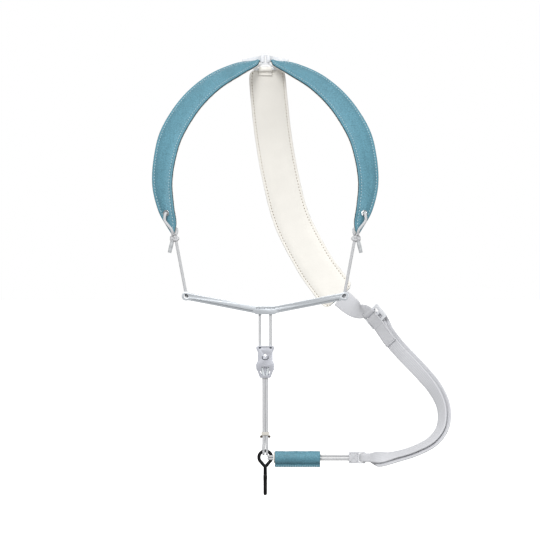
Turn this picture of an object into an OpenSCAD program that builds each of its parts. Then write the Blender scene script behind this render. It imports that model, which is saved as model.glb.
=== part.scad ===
// Saxophone neck strap: two padded leather neck pads on a nape link, a V-shaped spreader bar,
// a cord height adjuster, a coated hook and a padded shoulder sling.
// Origin at the nape, under the neck pads' joint. +X is the viewer's right, +Y is behind
// the wearer, +Z is up. Millimetres.

/* [Neck pads] */
// Width of each neck pad at its widest
pad_w = 29; // [25:0.5:35]
// Thickness of the dyed face leather
face_t = 1.6; // [1.2:0.1:2.4]
// Thickness of the foam core
core_t = 2.4; // [1.6:0.1:3.4]
// Thickness of the soft lining leather
lining_t = 1.2; // [0.8:0.1:1.8]
// Distance from the nape forward to the plane of the bar and hook
front_depth = 135; // [112:1:162]

/* [Cord] */
// Diameter of the braided cord
cord_d = 3; // [2.4:0.1:3.4]
// Distance between the two cords above the adjuster
cord_gap = 11.2; // [10:0.1:13]
// Length of the bound cord tail under each knot
tail_l = 11; // [8:1:16]
// Diameter of the binding on the tail
tail_d = 4.2; // [3.8:0.1:5]

/* [Spreader bar] */
// Distance between the centres of the bar's end rings
bar_span = 166; // [138:1:196]
// Height of the V, from the arms' inner ends up to the end rings
bar_rise = 14.5; // [8:0.5:22]
// Distance from the nape down to the middle of the bar
bar_drop = 269; // [246:1:323]
// Height of the bar's face
bar_h = 7.6; // [6.6:0.2:9.2]
// Thickness of the bar from front to back
bar_t = 6; // [5.4:0.1:7.5]
// Outer diameter of an end ring
ring_d = 9.2; // [8.6:0.2:11.4]

/* [Adjuster] */
// Height of the adjuster
adj_h = 33.5; // [30:0.5:40]
// Width of the adjuster
adj_w = 19.6; // [18.6:0.2:24]
// Thickness of the adjuster from front to back
adj_t = 8.4; // [7.8:0.1:9.6]
// Clear cord between the bar and the adjuster
adj_gap = 33; // [20:1:40]

/* [Hook] */
// Clear cord between the adjuster and the hook's eye
hook_gap = 75; // [60:1:92]
// Diameter of the eye's coated wire
eye_wire = 3.5; // [3:0.1:4.2]
// Outside width of the eye
eye_w = 16.8; // [15:0.2:20]
// Diameter of the coated wire of the hook
hook_wire = 3.9; // [3.2:0.1:4.6]
// Clear gap inside the hook
hook_mouth = 7.4; // [6.4:0.1:9]
// Height of the whole hook
hook_h = 48.4; // [44:0.2:58]

/* [Sling] */
// Width of the padded back strap
back_w = 40; // [34:1:48]
// Width of the sling's soft strap
strap_w = 14; // [12:0.5:16.8]
// Thickness of the sling's soft strap
strap_t = 2; // [1.6:0.1:2.4]
// Outer diameter of the leather sleeve
sleeve_d = 13.7; // [13.2:0.1:16]
// Length of the leather sleeve
sleeve_l = 47.5; // [40:0.5:57]
// Clear cord between the sleeve and the sling link
free_l = 30; // [24:1:36]

/* [Hidden] */
$fn = 48;

// Clearances
run_gap = 0.3;      // between pieces that move past each other
fit_gap = 0.2;      // round a cord in its hole
lay_gap = 0.1;      // between pieces that only lie together
knuckle_extra = 0.04;   // so that a corner's ball stands a little proud of its rods

cord_r = cord_d / 2;
front_y = -front_depth;
pad_t = face_t + core_t + lining_t;
cord_sides = 10;

// --- Points, curves and sweeps -------------------------------------------------------------

function unit(v) = v / norm(v);
function mix(a, b, t) = a + (b - a) * t;
function place(p) = [p[0], p[1], p[2]];
function smooth_at(a, b, c, d, t) =
    0.5 * (2 * b + (c - a) * t + (2 * a - 5 * b + 4 * c - d) * t * t + (3 * b - a - 3 * c + d) * t * t * t);

// A smooth curve through the rows, with this many steps between each two.
function smooth(rows, steps) = let (last = len(rows) - 1) concat(
    [for (i = [0:last - 1]) for (k = [0:steps - 1])
        smooth_at(rows[max(i - 1, 0)], rows[i], rows[i + 1], rows[min(i + 2, last)], k / steps)],
    [rows[last]]);

function tangent(path, i) =
    unit(place(path[min(i + 1, len(path) - 1)]) - place(path[max(i - 1, 0)]));

// Across a ribbon: in the front view's plane at tilt 0, and turned to the rear edge at 90.
function across(t, tilt) =
    let (side = unit([-t[2], 0, t[0]]), w = cos(tilt) * side + sin(tilt) * [0, 1, 0])
    unit(w - (w * t) * t);

// [middle, across, outward normal, width] at row i of a ribbon's rows [x, y, z, width, tilt].
function station(rows, i) =
    let (t = tangent(rows, i), w = across(t, rows[i][4]))
    [place(rows[i]), w, cross(t, w), rows[i][3]];

function ribbon_ring(s, low, high) = [
    s[0] - s[1] * s[3] / 2 + s[2] * low,
    s[0] + s[1] * s[3] / 2 + s[2] * low,
    s[0] + s[1] * s[3] / 2 + s[2] * high,
    s[0] - s[1] * s[3] / 2 + s[2] * high,
];

// A flat strip through stations, from low to high along its normal.
module strip(stations, low, high) {
    n = len(stations);
    points = [for (s = stations) each ribbon_ring(s, low, high)];
    sides = [for (i = [0:n - 2]) let (a = 4 * i, b = a + 4) each [
        [a, b + 1, a + 1], [a, b, b + 1],
        [a + 1, b + 2, a + 2], [a + 1, b + 1, b + 2],
        [a + 2, b + 2, a + 3], [a + 3, b + 2, b + 3],
        [a + 3, b + 3, a], [a, b + 3, b]]];
    e = 4 * n - 4;
    ends = [[0, 1, 2], [0, 2, 3], [e, e + 2, e + 1], [e, e + 3, e + 2]];
    polyhedron(points, concat(sides, ends));
}

function stations_of(rows) = [for (i = [0:len(rows) - 1]) station(rows, i)];

module ribbon(rows, low, high) {
    strip(stations_of(rows), low, high);
}

// One ring of a swept tube, square to the direction t, started from the axis up.
function tube_ring(p, t, up, r) =
    let (u = unit(up - (up * t) * t), v = cross(t, u))
    [for (k = [0:cord_sides - 1]) p + r * (cos(360 * k / cord_sides) * u + sin(360 * k / cord_sides) * v)];

// A round cord along path. up is never along it.
module tube(path, r = cord_r, up = [0, 1, 0]) {
    n = len(path);
    points = [for (i = [0:n - 1]) each tube_ring(path[i], tangent(path, i), up, r)];
    sides = [for (i = [0:n - 2]) for (k = [0:cord_sides - 1])
        let (a = i * cord_sides + k, b = i * cord_sides + (k + 1) % cord_sides)
        each [[a, b + cord_sides, b], [a, a + cord_sides, b + cord_sides]]];
    first = [for (k = [0:cord_sides - 1]) k];
    last = [for (k = [cord_sides - 1:-1:0]) (n - 1) * cord_sides + k];
    polyhedron(points, concat(sides, [first, last]));
}

// A round rod from a to b.
module rod(a, b, r) {
    d = b - a;
    translate(a)
        rotate([0, acos(d[2] / norm(d)), atan2(d[1], d[0])])
            cylinder(h = norm(d), r = r);
}

// The round corner between two rods.
module knuckle(p, r) {
    translate(p) sphere(r = r + knuckle_extra);
}

// Rods through the points of a line, with round corners.
module rods(line, r) {
    for (i = [1:len(line) - 1])
        rod(line[i - 1], line[i], r);
    for (i = [1:len(line) - 2])
        knuckle(line[i], r);
}

// A bent rod: part of a torus about +Z, from angle a, turning through sweep.
module bend(ring_r, wire_r, a = 0, sweep = 360) {
    rotate([0, 0, a])
        rotate_extrude(angle = sweep)
            translate([ring_r, 0]) circle(r = wire_r);
}

// Two circles and the straight sides that join them, as one flat outline.
module tapered(a, ra, b, rb) {
    d = b - a;
    lean = atan2(d[1], d[0]);
    turn = acos((ra - rb) / norm(d));
    out_up = [cos(lean + turn), sin(lean + turn)];
    out_down = [cos(lean - turn), sin(lean - turn)];
    translate(a) circle(r = ra);
    translate(b) circle(r = rb);
    polygon([a + ra * out_up, a + ra * out_down, b + rb * out_down, b + rb * out_up]);
}

// Stands a flat outline drawn in X and Z upright, this thick and centred on the front plane.
module upright(t) {
    translate([0, front_y + t / 2, 0]) rotate([90, 0, 0]) linear_extrude(t) children();
}

module both_sides() {
    children();
    mirror([1, 0, 0]) children();
}

// --- Nape link and pad tabs ----------------------------------------------------------------

bar_side = 1.8;
post_r = bar_side / sqrt(2);
post_x = 3.3;
post_low = -3.4;
post_high = 6.2;
wrap_t = 1.2;
wrap_h = 7.2;
wrap_low = post_low + 1.2;
hanger_z = -9.5;
hanger_x = 12.2;

// A flat bar of the link from a to b, with round ends.
module link_bar_2d(a, b) {
    tapered(a, bar_side / 2, b, bar_side / 2);
}

module nape_link() {
    color("whitesmoke")
        translate([0, bar_side / 2, 0])
            rotate([90, 0, 0])
                linear_extrude(bar_side) {
                    link_bar_2d([-post_x, post_high], [post_x, post_high]);
                    link_bar_2d([-post_x, post_low], [post_x, post_low]);
                    link_bar_2d([-hanger_x, hanger_z], [hanger_x, hanger_z]);
                    both_sides() {
                        link_bar_2d([post_x, post_low], [post_x, post_high]);
                        link_bar_2d([post_x, post_low], [hanger_x, hanger_z]);
                    }
                }
}

// Rows of x, y, z, width and tilt, from the pad to the post.
tab_rows = [[-25, 3, -1, 4, 0], [-16, 7, 0, 6, 0], [-9, 5.5, 1, 6.6, 0], [-4.6, 1.9, 1.2, 7, 0]];

module pad_tab() {
    wrap_r = post_r + fit_gap + wrap_t;
    color("white") {
        difference() {
            union() {
                translate([-post_x, 0, wrap_low]) cylinder(h = wrap_h, r = wrap_r);
                ribbon(smooth(tab_rows, 4), 0, wrap_t);
            }
            translate([-post_x, 0, wrap_low - 1]) cylinder(h = wrap_h + 2, r = post_r + fit_gap);
        }
    }
}

// --- Neck pads, drawn for the left one -----------------------------------------------------

// Rows of x, share of the depth, z, share of the width, and tilt, from the lower tip to the nape.
pad_keys = [
    [-97, 1, -189, 0.1, 8],
    [-99, 0.99, -178, 0.4, 18],
    [-104.5, 0.97, -161, 0.65, 27],
    [-108.5, 0.9, -135.5, 0.85, 35],
    [-106, 0.8, -107.5, 0.94, 37],
    [-98.3, 0.67, -80, 0.99, 38],
    [-80, 0.49, -49.5, 1, 44],
    [-56.5, 0.31, -26, 0.95, 51],
    [-30, 0.13, -10, 0.8, 58],
    [-13.5, 0.04, -3.5, 0.55, 68],
    [-8, 0.02, -1, 0.34, 80],
];
pad_rows = smooth([for (k = pad_keys) [k[0], front_y * k[1], k[2], k[3] * pad_w, k[4]]], 3);

pad_front = pad_t / 2;
face_low = pad_front - face_t;
core_low = face_low - core_t;

// Where the eyelet sits, as a row of the pad
eyelet_row = 5;
eyelet = station(pad_rows, eyelet_row);
eyelet_r = cord_r + 2 * fit_gap;
eyelet_wall = 0.5;
eyelet_rim = 1;
eyelet_rim_t = 0.5;
eyelet_lift = 0.45;

// Puts a piece modelled about +Z on the eyelet's axis, with z = 0 at the pad's middle.
module on_eyelet() {
    d = eyelet[2];
    translate(eyelet[0])
        rotate([0, acos(d[2]), atan2(d[1], d[0])])
            children();
}

module pad_layer(low, high) {
    difference() {
        ribbon(pad_rows, low, high);
        on_eyelet() translate([0, 0, -pad_t])
            cylinder(h = 2 * pad_t, r = eyelet_r + eyelet_wall);
    }
}

module pad_face() {
    color("cadetblue") pad_layer(face_low, pad_front);
}

module pad_core() {
    color("gainsboro") pad_layer(core_low, face_low);
}

module pad_lining() {
    color("linen") pad_layer(-pad_front, core_low);
}

module pad_eyelet() {
    reach = pad_front + eyelet_lift + eyelet_rim_t;
    color("silver")
        on_eyelet()
            difference() {
                union() {
                    translate([0, 0, -reach]) cylinder(h = 2 * reach, r = eyelet_r + eyelet_wall);
                    for (z = [-reach, reach - eyelet_rim_t])
                        translate([0, 0, z])
                            cylinder(h = eyelet_rim_t, r = eyelet_r + eyelet_wall + eyelet_rim);
                }
                translate([0, 0, -reach - 1]) cylinder(h = 2 * reach + 2, r = eyelet_r);
            }
}

// --- Knot, tail and drop cord at each pad, drawn for the left one --------------------------

knot = [-95.6, front_y, -193.6];
knot_r = 2.4;
knot_drop = 1.6;

// A point of the pad's loop: out from the pad's middle along its normal, down from the eyelet, and sideways.
function by_eyelet(out, down, side) = eyelet[0] + eyelet[2] * out + [side, 0, -down];

loop_out = pad_front + eyelet_lift + eyelet_rim_t + cord_r + lay_gap;
loop_keys = [
    knot + [-1.4, -3, 3.2],
    knot + [-2.8, -5.2, 9],
    by_eyelet(loop_out + 1.9, 8.5, 0.6),
    by_eyelet(loop_out + 1.1, 3.5, 0),
    by_eyelet(loop_out - 0.3, 0.6, 0),
    by_eyelet(pad_front, 0, 0),
    by_eyelet(-pad_front, 0, 0),
    by_eyelet(0.3 - loop_out, 0.6, 0),
    by_eyelet(-0.8 - loop_out, 4, 0.8),
    by_eyelet(-0.6 - loop_out, 12, 2.6),
    knot + [2.6, 4.4, 9],
    knot + [1.6, 1.8, 3.2],
];

module pad_loop() {
    color("gainsboro") tube(smooth(loop_keys, 3), cord_r, [1, 0, 0]);
}

module pad_knot() {
    color("gainsboro")
        translate(knot) {
            translate([-1.3, 0, 0]) rotate([90, 0, 20]) bend(knot_r, cord_r);
            translate([1.3, 0, -0.6]) rotate([60, 0, -20]) bend(knot_r, cord_r);
        }
}

tail_start = knot + [-2.4, -0.6, -4.6];
tail_lean = [-0.23, 0, -0.97];

module cord_tail() {
    color("lightgray") rod(tail_start, tail_start + tail_l * unit(tail_lean), tail_d / 2);
}

// --- Spreader bar --------------------------------------------------------------------------

bar_z = -bar_drop;
ring_r = ring_d / 2;
ring_hole = cord_r + 0.9;
ring_x = -bar_span / 2;
ring_z = bar_z + bar_rise;
exit_x = cord_gap / 2;
arm_x = exit_x + 3;
boss_r = bar_h / 2 + 0.5;
boss_low = bar_z - 0.3 - boss_r;
exit_r = cord_r + fit_gap;
exit_low = boss_low - lay_gap;
bore_y = front_y + 0.5;
mark_count = 12;
mark_step = 1.7;

// The left arm's line, from the end ring in to the boss
arm_run = [ring_x, ring_z] - [-arm_x, bar_z];
arm_l = norm(arm_run);
arm_lean = atan2(-arm_run[1], -arm_run[0]);
step_up = 1.2;
step_in = 1.6;

module bar_outline() {
    both_sides() {
        tapered([ring_x, ring_z], bar_h / 2, [-arm_x, bar_z], bar_h / 2);
        translate([ring_x, ring_z]) circle(r = ring_r);
    }
    tapered([-arm_x, bar_z - 0.3], boss_r, [arm_x, bar_z - 0.3], boss_r);
}

// The cord's line inside the left arm, from the end ring to the outlet
bore_line = [
    [ring_x, bore_y, ring_z],
    [-exit_x, bore_y, bar_z + 0.6],
    [-exit_x, bore_y, exit_low],
];

// The step under each arm's face, for the left arm
module bar_step_cut() {
    translate([0, front_y - bar_t / 2 + step_in, 0])
        rotate([90, 0, 0])
            linear_extrude(bar_t)
                translate([ring_x, ring_z])
                    rotate(arm_lean)
                        translate([ring_r + 1.6, -bar_h - step_up])
                            square([arm_l - ring_r - boss_r - 1.6, bar_h]);
}

module spreader_bar() {
    color("lightsteelblue")
        difference() {
            upright(bar_t) bar_outline();
            both_sides() {
                translate([ring_x, front_y + bar_t, ring_z]) rotate([90, 0, 0])
                    cylinder(h = 2 * bar_t, r = ring_hole);
                rod(bore_line[0], bore_line[1], exit_r);
                knuckle(bore_line[1], exit_r);
                rod(bore_line[1], bore_line[2] - [0, 0, 2], exit_r);
                bar_step_cut();
            }
            for (i = [0:mark_count - 1])
                translate([(i - (mark_count - 1) / 2) * mark_step, front_y - bar_t / 2 - 1, bar_z + 1.9])
                    rotate([-90, 0, 0]) cylinder(h = 1.4, r = 0.5);
        }
}

// The cord through the end ring and down the bore, for the left arm
ring_top = [ring_x - 0.6, front_y + bar_t / 2 + cord_r + lay_gap, ring_z + ring_r - 0.4];
bar_cord_line = [
    ring_top,
    [ring_x, front_y + bar_t / 2 + cord_r + lay_gap, ring_z],
    bore_line[0],
    bore_line[1],
    bore_line[2],
];

module bar_cord() {
    color("gainsboro") tube(bar_cord_line, cord_r);
}

drop_start = knot + [2.6, 0, -4.4];

module drop_cord() {
    color("gainsboro") rod(drop_start, ring_top + [0, 0, lay_gap], cord_r);
}

// --- Adjuster ------------------------------------------------------------------------------

adj_top = exit_low - adj_gap;
adj_low = adj_top - adj_h;
pair_x = cord_r + 0.3;
corner_r = 2.4;
cheek_z = adj_top - 0.6 * adj_h;
chin_z = adj_top - 0.72 * adj_h;
foot_x = pair_x + 2.6;
foot_r = 1.6;
slot_z = adj_top - 0.6 * adj_h;
front_cord_y = front_y - 1.4;
back_cord_y = front_y + 1.9;
knot_z = adj_top - 0.74 * adj_h;
eye_hole_z = adj_top - 0.29 * adj_h;

function arc_points(c, r, from, to) =
    [for (k = [0:6]) let (a = mix(from, to, k / 6)) c + r * [cos(a), sin(a)]];

module adjuster_outline() {
    half = adj_w / 2 - corner_r;
    waist = half + 0.4;
    right = concat(
        arc_points([half, adj_top - corner_r], corner_r, 90, 0),
        [[waist, adj_top - 0.2 * adj_h], [waist, adj_top - 0.45 * adj_h]],
        arc_points([half, cheek_z], corner_r, 40, 0),
        arc_points([half, chin_z], corner_r - 0.4, 0, -60),
        arc_points([foot_x, adj_low + foot_r], foot_r, -30, -90));
    polygon(concat(right, [for (i = [len(right) - 1:-1:0]) [-right[i][0], right[i][1]]]));
}

// The front cords' line through the adjuster, for the left one.
adj_line = [
    [-exit_x, front_y, adj_top],
    [-exit_x, front_y, adj_top - 5],
    [-pair_x - 2.9, front_y - 0.3, slot_z],
    [-pair_x, front_cord_y, adj_low + 3.4],
    [-pair_x, front_cord_y, adj_low],
];

module adjuster_channel() {
    rods([adj_line[0] + [0, 0, 2], adj_line[1], adj_line[2], adj_line[3], adj_line[4] - [0, 0, 2]],
        cord_r + fit_gap);
}

// A box between x, z limits, from the depth y_from back to y_to.
module cut_box(x, z_low, z_high, y_from, y_to) {
    translate([-x, front_y + y_from, z_low]) cube([2 * x, y_to - y_from, z_high - z_low]);
}

module adjuster_frame() {
    color("lightsteelblue")
        difference() {
            upright(adj_t) adjuster_outline();
            both_sides() {
                adjuster_channel();
                // the returning cord's way up to its knot
                rod([-pair_x, back_cord_y, adj_low - 2], [-pair_x, back_cord_y, knot_z], cord_r + fit_gap);
                // oval where the cord goes in, and the window beside it lower down
                rod([-exit_x, front_y - adj_t, adj_top - 1.9], [-exit_x, front_y, adj_top - 1.9], 1.2);
                upright(2 * adj_t)
                    tapered([foot_x - 0.2, chin_z - 2.6], 0.8, [foot_x - 0.7, adj_low + 5], 0.8);
            }
            translate([0, front_y, eye_hole_z]) rotate([90, 0, 0])
                cylinder(h = 2 * adj_t, r = 1.3, center = true);
            // open front over the cords, and the room behind for the knots
            cut_box(pair_x + 2.2, adj_low + 2.6, slot_z - 1.6, -adj_t, -1);
            cut_box(pair_x + 3, knot_z - 3, knot_z + 3, -0.4, adj_t);
        }
}

module adjuster_cord() {
    color("gainsboro") rods(adj_line, cord_r);
}

module upper_cord() {
    color("gainsboro")
        rod([-exit_x, bore_y, exit_low - lay_gap], [-exit_x, front_y, adj_top + lay_gap], cord_r);
}

module adjuster_knots() {
    color("gainsboro")
        both_sides()
            translate([-pair_x - 0.4, back_cord_y + 0.7, knot_z]) sphere(r = cord_r + 0.3);
}

// --- Cords, keeper and loops above the hook ------------------------------------------------

eye_r = eye_w / 2 - eye_wire / 2;
eye_top = adj_low - hook_gap - eye_wire / 2;
eye_z = eye_top - eye_r;
tight_r = 0.8 * cord_r;     // where the cord is drawn tight round the eye
bight_r = eye_wire / 2 + tight_r + 0.3;
bight_sag = 0.35;
keeper_z = eye_top + 15;
keeper_r = 0.8;
ball_r = 1.4;
ball_x = 4.2;
keeper_y = cord_r + keeper_r + lay_gap;
band_t = 0.5;
band_h = 3.4;

// One lower cord, on side -1 or 1, from the adjuster past the keeper to the eye.
module lower_strand(side, y_top, y_keeper, y_eye) {
    tube([for (p = [
        [y_top, adj_low - lay_gap],
        [y_top, adj_low - 4],
        [y_keeper, keeper_z + 5],
        [y_keeper, keeper_z - 3],
        [y_eye, eye_top + 5],
        [y_eye, eye_top + lay_gap],
    ]) [side * pair_x, p[0], p[1]]]);
}

module lower_cords_front() {
    color("gainsboro")
        for (side = [-1, 1])
            lower_strand(side, front_cord_y, front_y - keeper_y, front_y - bight_r);
}

module lower_cords_back() {
    color("gainsboro")
        for (side = [-1, 1])
            lower_strand(side, back_cord_y, front_y + keeper_y, front_y + bight_r);
}

// One turned piece: a thin rod with a ball at each end
module keeper_pin() {
    rod_r = keeper_r - lay_gap;
    color("tan")
        translate([0, front_y, keeper_z])
            rotate([0, 90, 0])
                rotate_extrude()
                    intersection() {
                        union() {
                            translate([0, -ball_x]) square([rod_r, 2 * ball_x]);
                            for (z = [-ball_x, ball_x])
                                translate([0, z]) circle(r = ball_r);
                        }
                        translate([0, -ball_x - 2 * ball_r]) square([2 * ball_r, 2 * ball_x + 4 * ball_r]);
                    }
}

// A thin band round the four cords, just above the pin
band_z = keeper_z + ball_r + band_h / 2 + lay_gap;
band_in_x = pair_x + cord_r + fit_gap;
band_in_y = keeper_y + cord_r + fit_gap + 0.1;

module keeper_band() {
    color("whitesmoke")
        translate([0, front_y, band_z - band_h / 2])
            linear_extrude(band_h)
                difference() {
                    square([2 * (band_in_x + band_t), 2 * (band_in_y + band_t)], center = true);
                    square([2 * band_in_x, 2 * band_in_y], center = true);
                }
}

module eye_loops() {
    color("gainsboro")
        for (side = [-1, 1])
            translate([side * pair_x, front_y, eye_top]) {
                translate([0, 0, -bight_sag]) rotate([0, 90, 0]) bend(bight_r, tight_r, -90, 180);
                for (y = [-bight_r, bight_r])
                    rod([0, y, -bight_sag], [0, y, 0], tight_r);
            }
}

// --- Hook ----------------------------------------------------------------------------------

eye_wire_r = eye_wire / 2;
hook_wire_r = hook_wire / 2;
eye_foot = eye_z - 1.3 * eye_r;
hook_low = eye_top + eye_wire_r - hook_h;
bow_r = hook_mouth / 2 + hook_wire_r;
bow_z = hook_low + hook_wire_r + bow_r;
bow_y = front_y;
neck_z = eye_foot - 3.6;
shank_z = bow_z + 6.5;
tip_z = bow_z + 13;
tip_y = bow_y - bow_r - 1.6;
mouth_z = bow_z + 8;

module hook() {
    // where the eye's straight sides leave its round top
    lean = acos(eye_r / (eye_z - eye_foot));
    side = [eye_r * sin(lean), 0, -eye_r * cos(lean)];
    color("black") {
        translate([0, front_y, eye_z]) rotate([90, 0, 0]) bend(eye_r, eye_wire_r);
        both_sides()
            rod([side[0], front_y, eye_z + side[2]], [0, front_y, eye_foot], eye_wire_r - knuckle_extra);
        knuckle([0, front_y, eye_foot], eye_wire_r);
        rod([0, front_y, eye_foot], [0, front_y, neck_z], eye_wire_r);
        knuckle([0, front_y, neck_z], eye_wire_r);
        rod([0, front_y, neck_z], [0, bow_y + bow_r, shank_z], eye_wire_r);
        knuckle([0, bow_y + bow_r, shank_z], hook_wire_r);
        rod([0, bow_y + bow_r, shank_z], [0, bow_y + bow_r, bow_z], hook_wire_r);
        translate([0, bow_y, bow_z]) rotate([0, 90, 0]) bend(bow_r, hook_wire_r, -90, 180);
        rod([0, bow_y - bow_r, bow_z], [0, bow_y - bow_r, mouth_z], hook_wire_r);
        knuckle([0, bow_y - bow_r, mouth_z], hook_wire_r);
        rod([0, bow_y - bow_r, mouth_z], [0, tip_y, tip_z], hook_wire_r);
        translate([0, tip_y, tip_z]) sphere(r = hook_wire_r + 0.2);
    }
}

// --- Sling cord, sleeve and link -----------------------------------------------------------

thick_eye = max(0, eye_wire - 3.5);     // a thicker eye lowers the hitch under its cord turns
sling_z = eye_z - 0.3 - thick_eye;
turn_z = cord_r + 0.2;
hitch_z = tight_r + 0.1;
hitch_r = eye_wire_r + tight_r + lay_gap;
hitch_x = eye_r - 0.3;
hitch_end = eye_r + eye_wire_r + lay_gap;
liner_end = hitch_end + run_gap;
liner_shows = 1.3;
liner_t = 0.8;
sleeve_start = liner_end + liner_shows;
sleeve_r = sleeve_d / 2;
sleeve_in = hitch_r + cord_r + fit_gap;
seam_h = 3.2;
seam_t = 2.6;
link_x = sleeve_start + sleeve_l + free_l;
link_w = 17.6;
link_h = 12.4;
link_bar = 2.6;
tab_t = 5;
turn_slot = strap_t + 2;
turn_w = 8.8;
turn_out = tab_t / 2 + fit_gap + 0.3 + strap_t;
turn_l = 5;

// Puts a piece at both of the sling cord's levels, this far above and below its middle.
module two_levels(up) {
    for (z = [sling_z - up, sling_z + up])
        translate([0, front_y, z]) children();
}

module eye_hitch() {
    color("gainsboro")
        two_levels(hitch_z) {
            translate([hitch_x, 0, 0]) bend(hitch_r, tight_r, 90, 180);
            for (y = [-hitch_r, hitch_r])
                rod([hitch_x, y, 0], [hitch_end, y, 0], tight_r);
        }
}

cord_left = liner_end + 2;
bight_x = link_x + 3;

// The two cords and the bight that joins them inside the tab
module sling_cord() {
    color("gainsboro") {
        two_levels(turn_z) rod([cord_left, 0, 0], [bight_x, 0, 0], cord_r);
        translate([bight_x, front_y, sling_z]) rotate([90, 0, 0]) bend(turn_z, cord_r, -90, 180);
    }
}

// Sewn webbing tab: a pocket on its left for the cord's bight, and a slot for the sling's turn
module sling_tab() {
    pocket_h = 2 * (turn_z + cord_r + fit_gap);
    pocket_w = bight_x + turn_z + cord_r + fit_gap - link_x;
    color("white")
        translate([link_x, front_y, sling_z])
            difference() {
                translate([0, -tab_t / 2, -link_h / 2]) cube([link_w, tab_t, link_h]);
                translate([-1, -cord_r - fit_gap, -pocket_h / 2])
                    cube([pocket_w + 1, cord_d + 2 * fit_gap, pocket_h]);
                translate([link_w - link_bar - turn_slot, -tab_t, -turn_w / 2 - 0.6])
                    cube([turn_slot, 2 * tab_t, turn_w + 1.2]);
            }
}

// The sling's turn round the tab's right bar
module sling_turn() {
    bar_x = link_x + link_w - link_bar / 2;
    color("gainsboro")
        translate([bar_x, front_y, sling_z - turn_w / 2])
            difference() {
                union() {
                    cylinder(h = turn_w, r = turn_out);
                    for (y = [-turn_out, turn_out - strap_t])
                        translate([0, y, 0]) cube([turn_l, strap_t, turn_w]);
                }
                translate([0, 0, -1]) cylinder(h = turn_w + 2, r = turn_out - strap_t);
            }
}

module sleeve_outline(r) {
    circle(r = r);
    translate([0, -r - seam_h / 2 + 0.8]) square([seam_t, seam_h + 1.6], center = true);
}

// Runs a flat outline along +X, centred on the sling cord's axis.
module along_sling(x, l) {
    translate([x, front_y, sling_z]) rotate([90, 0, 90]) linear_extrude(l) children();
}

module sleeve_leather() {
    color("cadetblue")
        along_sling(sleeve_start, sleeve_l)
            difference() {
                sleeve_outline(sleeve_r);
                circle(r = sleeve_in + liner_t);
            }
}

module sleeve_liner() {
    color("white")
        along_sling(liner_end, sleeve_l + liner_shows)
            difference() {
                circle(r = sleeve_in + liner_t);
                circle(r = sleeve_in);
            }
}

// --- Back strap ----------------------------------------------------------------------------

// Rows of x, y, z, share of the width, and tilt, from the nape down.
back_keys = [
    [1.4, 5.5, -10, 0.8, 0],
    [1.9, 6.5, -16, 0.97, 0],
    [4, 14, -41, 1, 0],
    [9, 24, -84.5, 1, 0],
    [17, 28, -128.5, 1, 0],
    [29, 27, -173, 1, 0],
    [51.5, 22, -217, 1, 0],
    [66.5, 18, -239, 1, 0],
    [77, 14.5, -253, 0.98, 0],
    [80, 13.5, -256.5, 0.8, 0],
];
back_rows = smooth([for (k = back_keys) [k[0], k[1], k[2], k[3] * back_w, k[4]]], 3);

module back_lining() {
    color("linen") ribbon(back_rows, core_t / 2, core_t / 2 + lining_t);
}

module back_core() {
    color("gainsboro") ribbon(back_rows, -core_t / 2, core_t / 2);
}

module back_face() {
    color("cadetblue") ribbon(back_rows, -core_t / 2 - face_t, -core_t / 2);
}

back_front_y = 5.5 - core_t / 2 - lining_t;
back_tab_w = 14;

module back_tab() {
    hole_r = post_r + fit_gap;
    color("white")
        difference() {
            union() {
                translate([-back_tab_w / 2, 0, hanger_z]) rotate([0, 90, 0])
                    cylinder(h = back_tab_w, r = hole_r + wrap_t);
                translate([-back_tab_w / 2, back_front_y - lay_gap - wrap_t, hanger_z - 6.5])
                    cube([back_tab_w, wrap_t, 6.5]);
            }
            translate([-back_tab_w / 2 - 1, 0, hanger_z]) rotate([0, 90, 0])
                cylinder(h = back_tab_w + 2, r = hole_r);
        }
}

// --- Sling buckle --------------------------------------------------------------------------

// The buckle's middle, and its axes: along the strap, across it, and out of its inner face
buckle_at = [117.2, -4.3, -278.4];
buckle_x = unit([0.62, -0.2, -0.76]);
buckle_tilt = -30;
buckle_y = across(buckle_x, buckle_tilt);
buckle_z = cross(buckle_x, buckle_y);
buckle_t = 2.4;
buckle_side = 3;
buckle_shift = 2.2;
slot_w = strap_t + 2.4;
buckle_bar = 3;
bar_step = buckle_bar + slot_w;
buckle_w = strap_w + 2 * buckle_side + 3.6;
wrap_in = norm([buckle_bar, buckle_t]) / 2 + fit_gap;
fold_t = 1.4;
wrap_mid = wrap_in + fold_t / 2;

function by_buckle(x, y, z) = buckle_at + x * buckle_x + y * buckle_y + z * buckle_z;

// Stands a piece modelled along +X, +Y and +Z at the buckle.
module at_buckle() {
    multmatrix([
        [buckle_x[0], buckle_y[0], buckle_z[0], buckle_at[0]],
        [buckle_x[1], buckle_y[1], buckle_z[1], buckle_at[1]],
        [buckle_x[2], buckle_y[2], buckle_z[2], buckle_at[2]],
        [0, 0, 0, 1],
    ]) children();
}

module sling_buckle() {
    slot_l = buckle_w - 2 * buckle_side;
    color("white")
        at_buckle()
            translate([0, buckle_shift, -buckle_t / 2])
                linear_extrude(buckle_t)
                    difference() {
                        square([2 * bar_step + buckle_bar, buckle_w], center = true);
                        for (x = [-1, 1])
                            translate([x * bar_step / 2, -buckle_shift / 2])
                                square([slot_w, slot_l], center = true);
                    }
}

// A ribbon's station on a turn round a bar of the buckle, at angle a from +X towards +Z.
function turn_station(bar, a) = [
    by_buckle(bar * bar_step + wrap_mid * cos(a), 0, wrap_mid * sin(a)),
    buckle_y,
    cos(a) * buckle_x + sin(a) * buckle_z,
    strap_w,
];

// --- Sling strap ---------------------------------------------------------------------------

// A row of a ribbon at the buckle, from its place there.
function buckle_row(x, z, w) = concat(by_buckle(x, 0, z), [w, buckle_tilt]);

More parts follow.
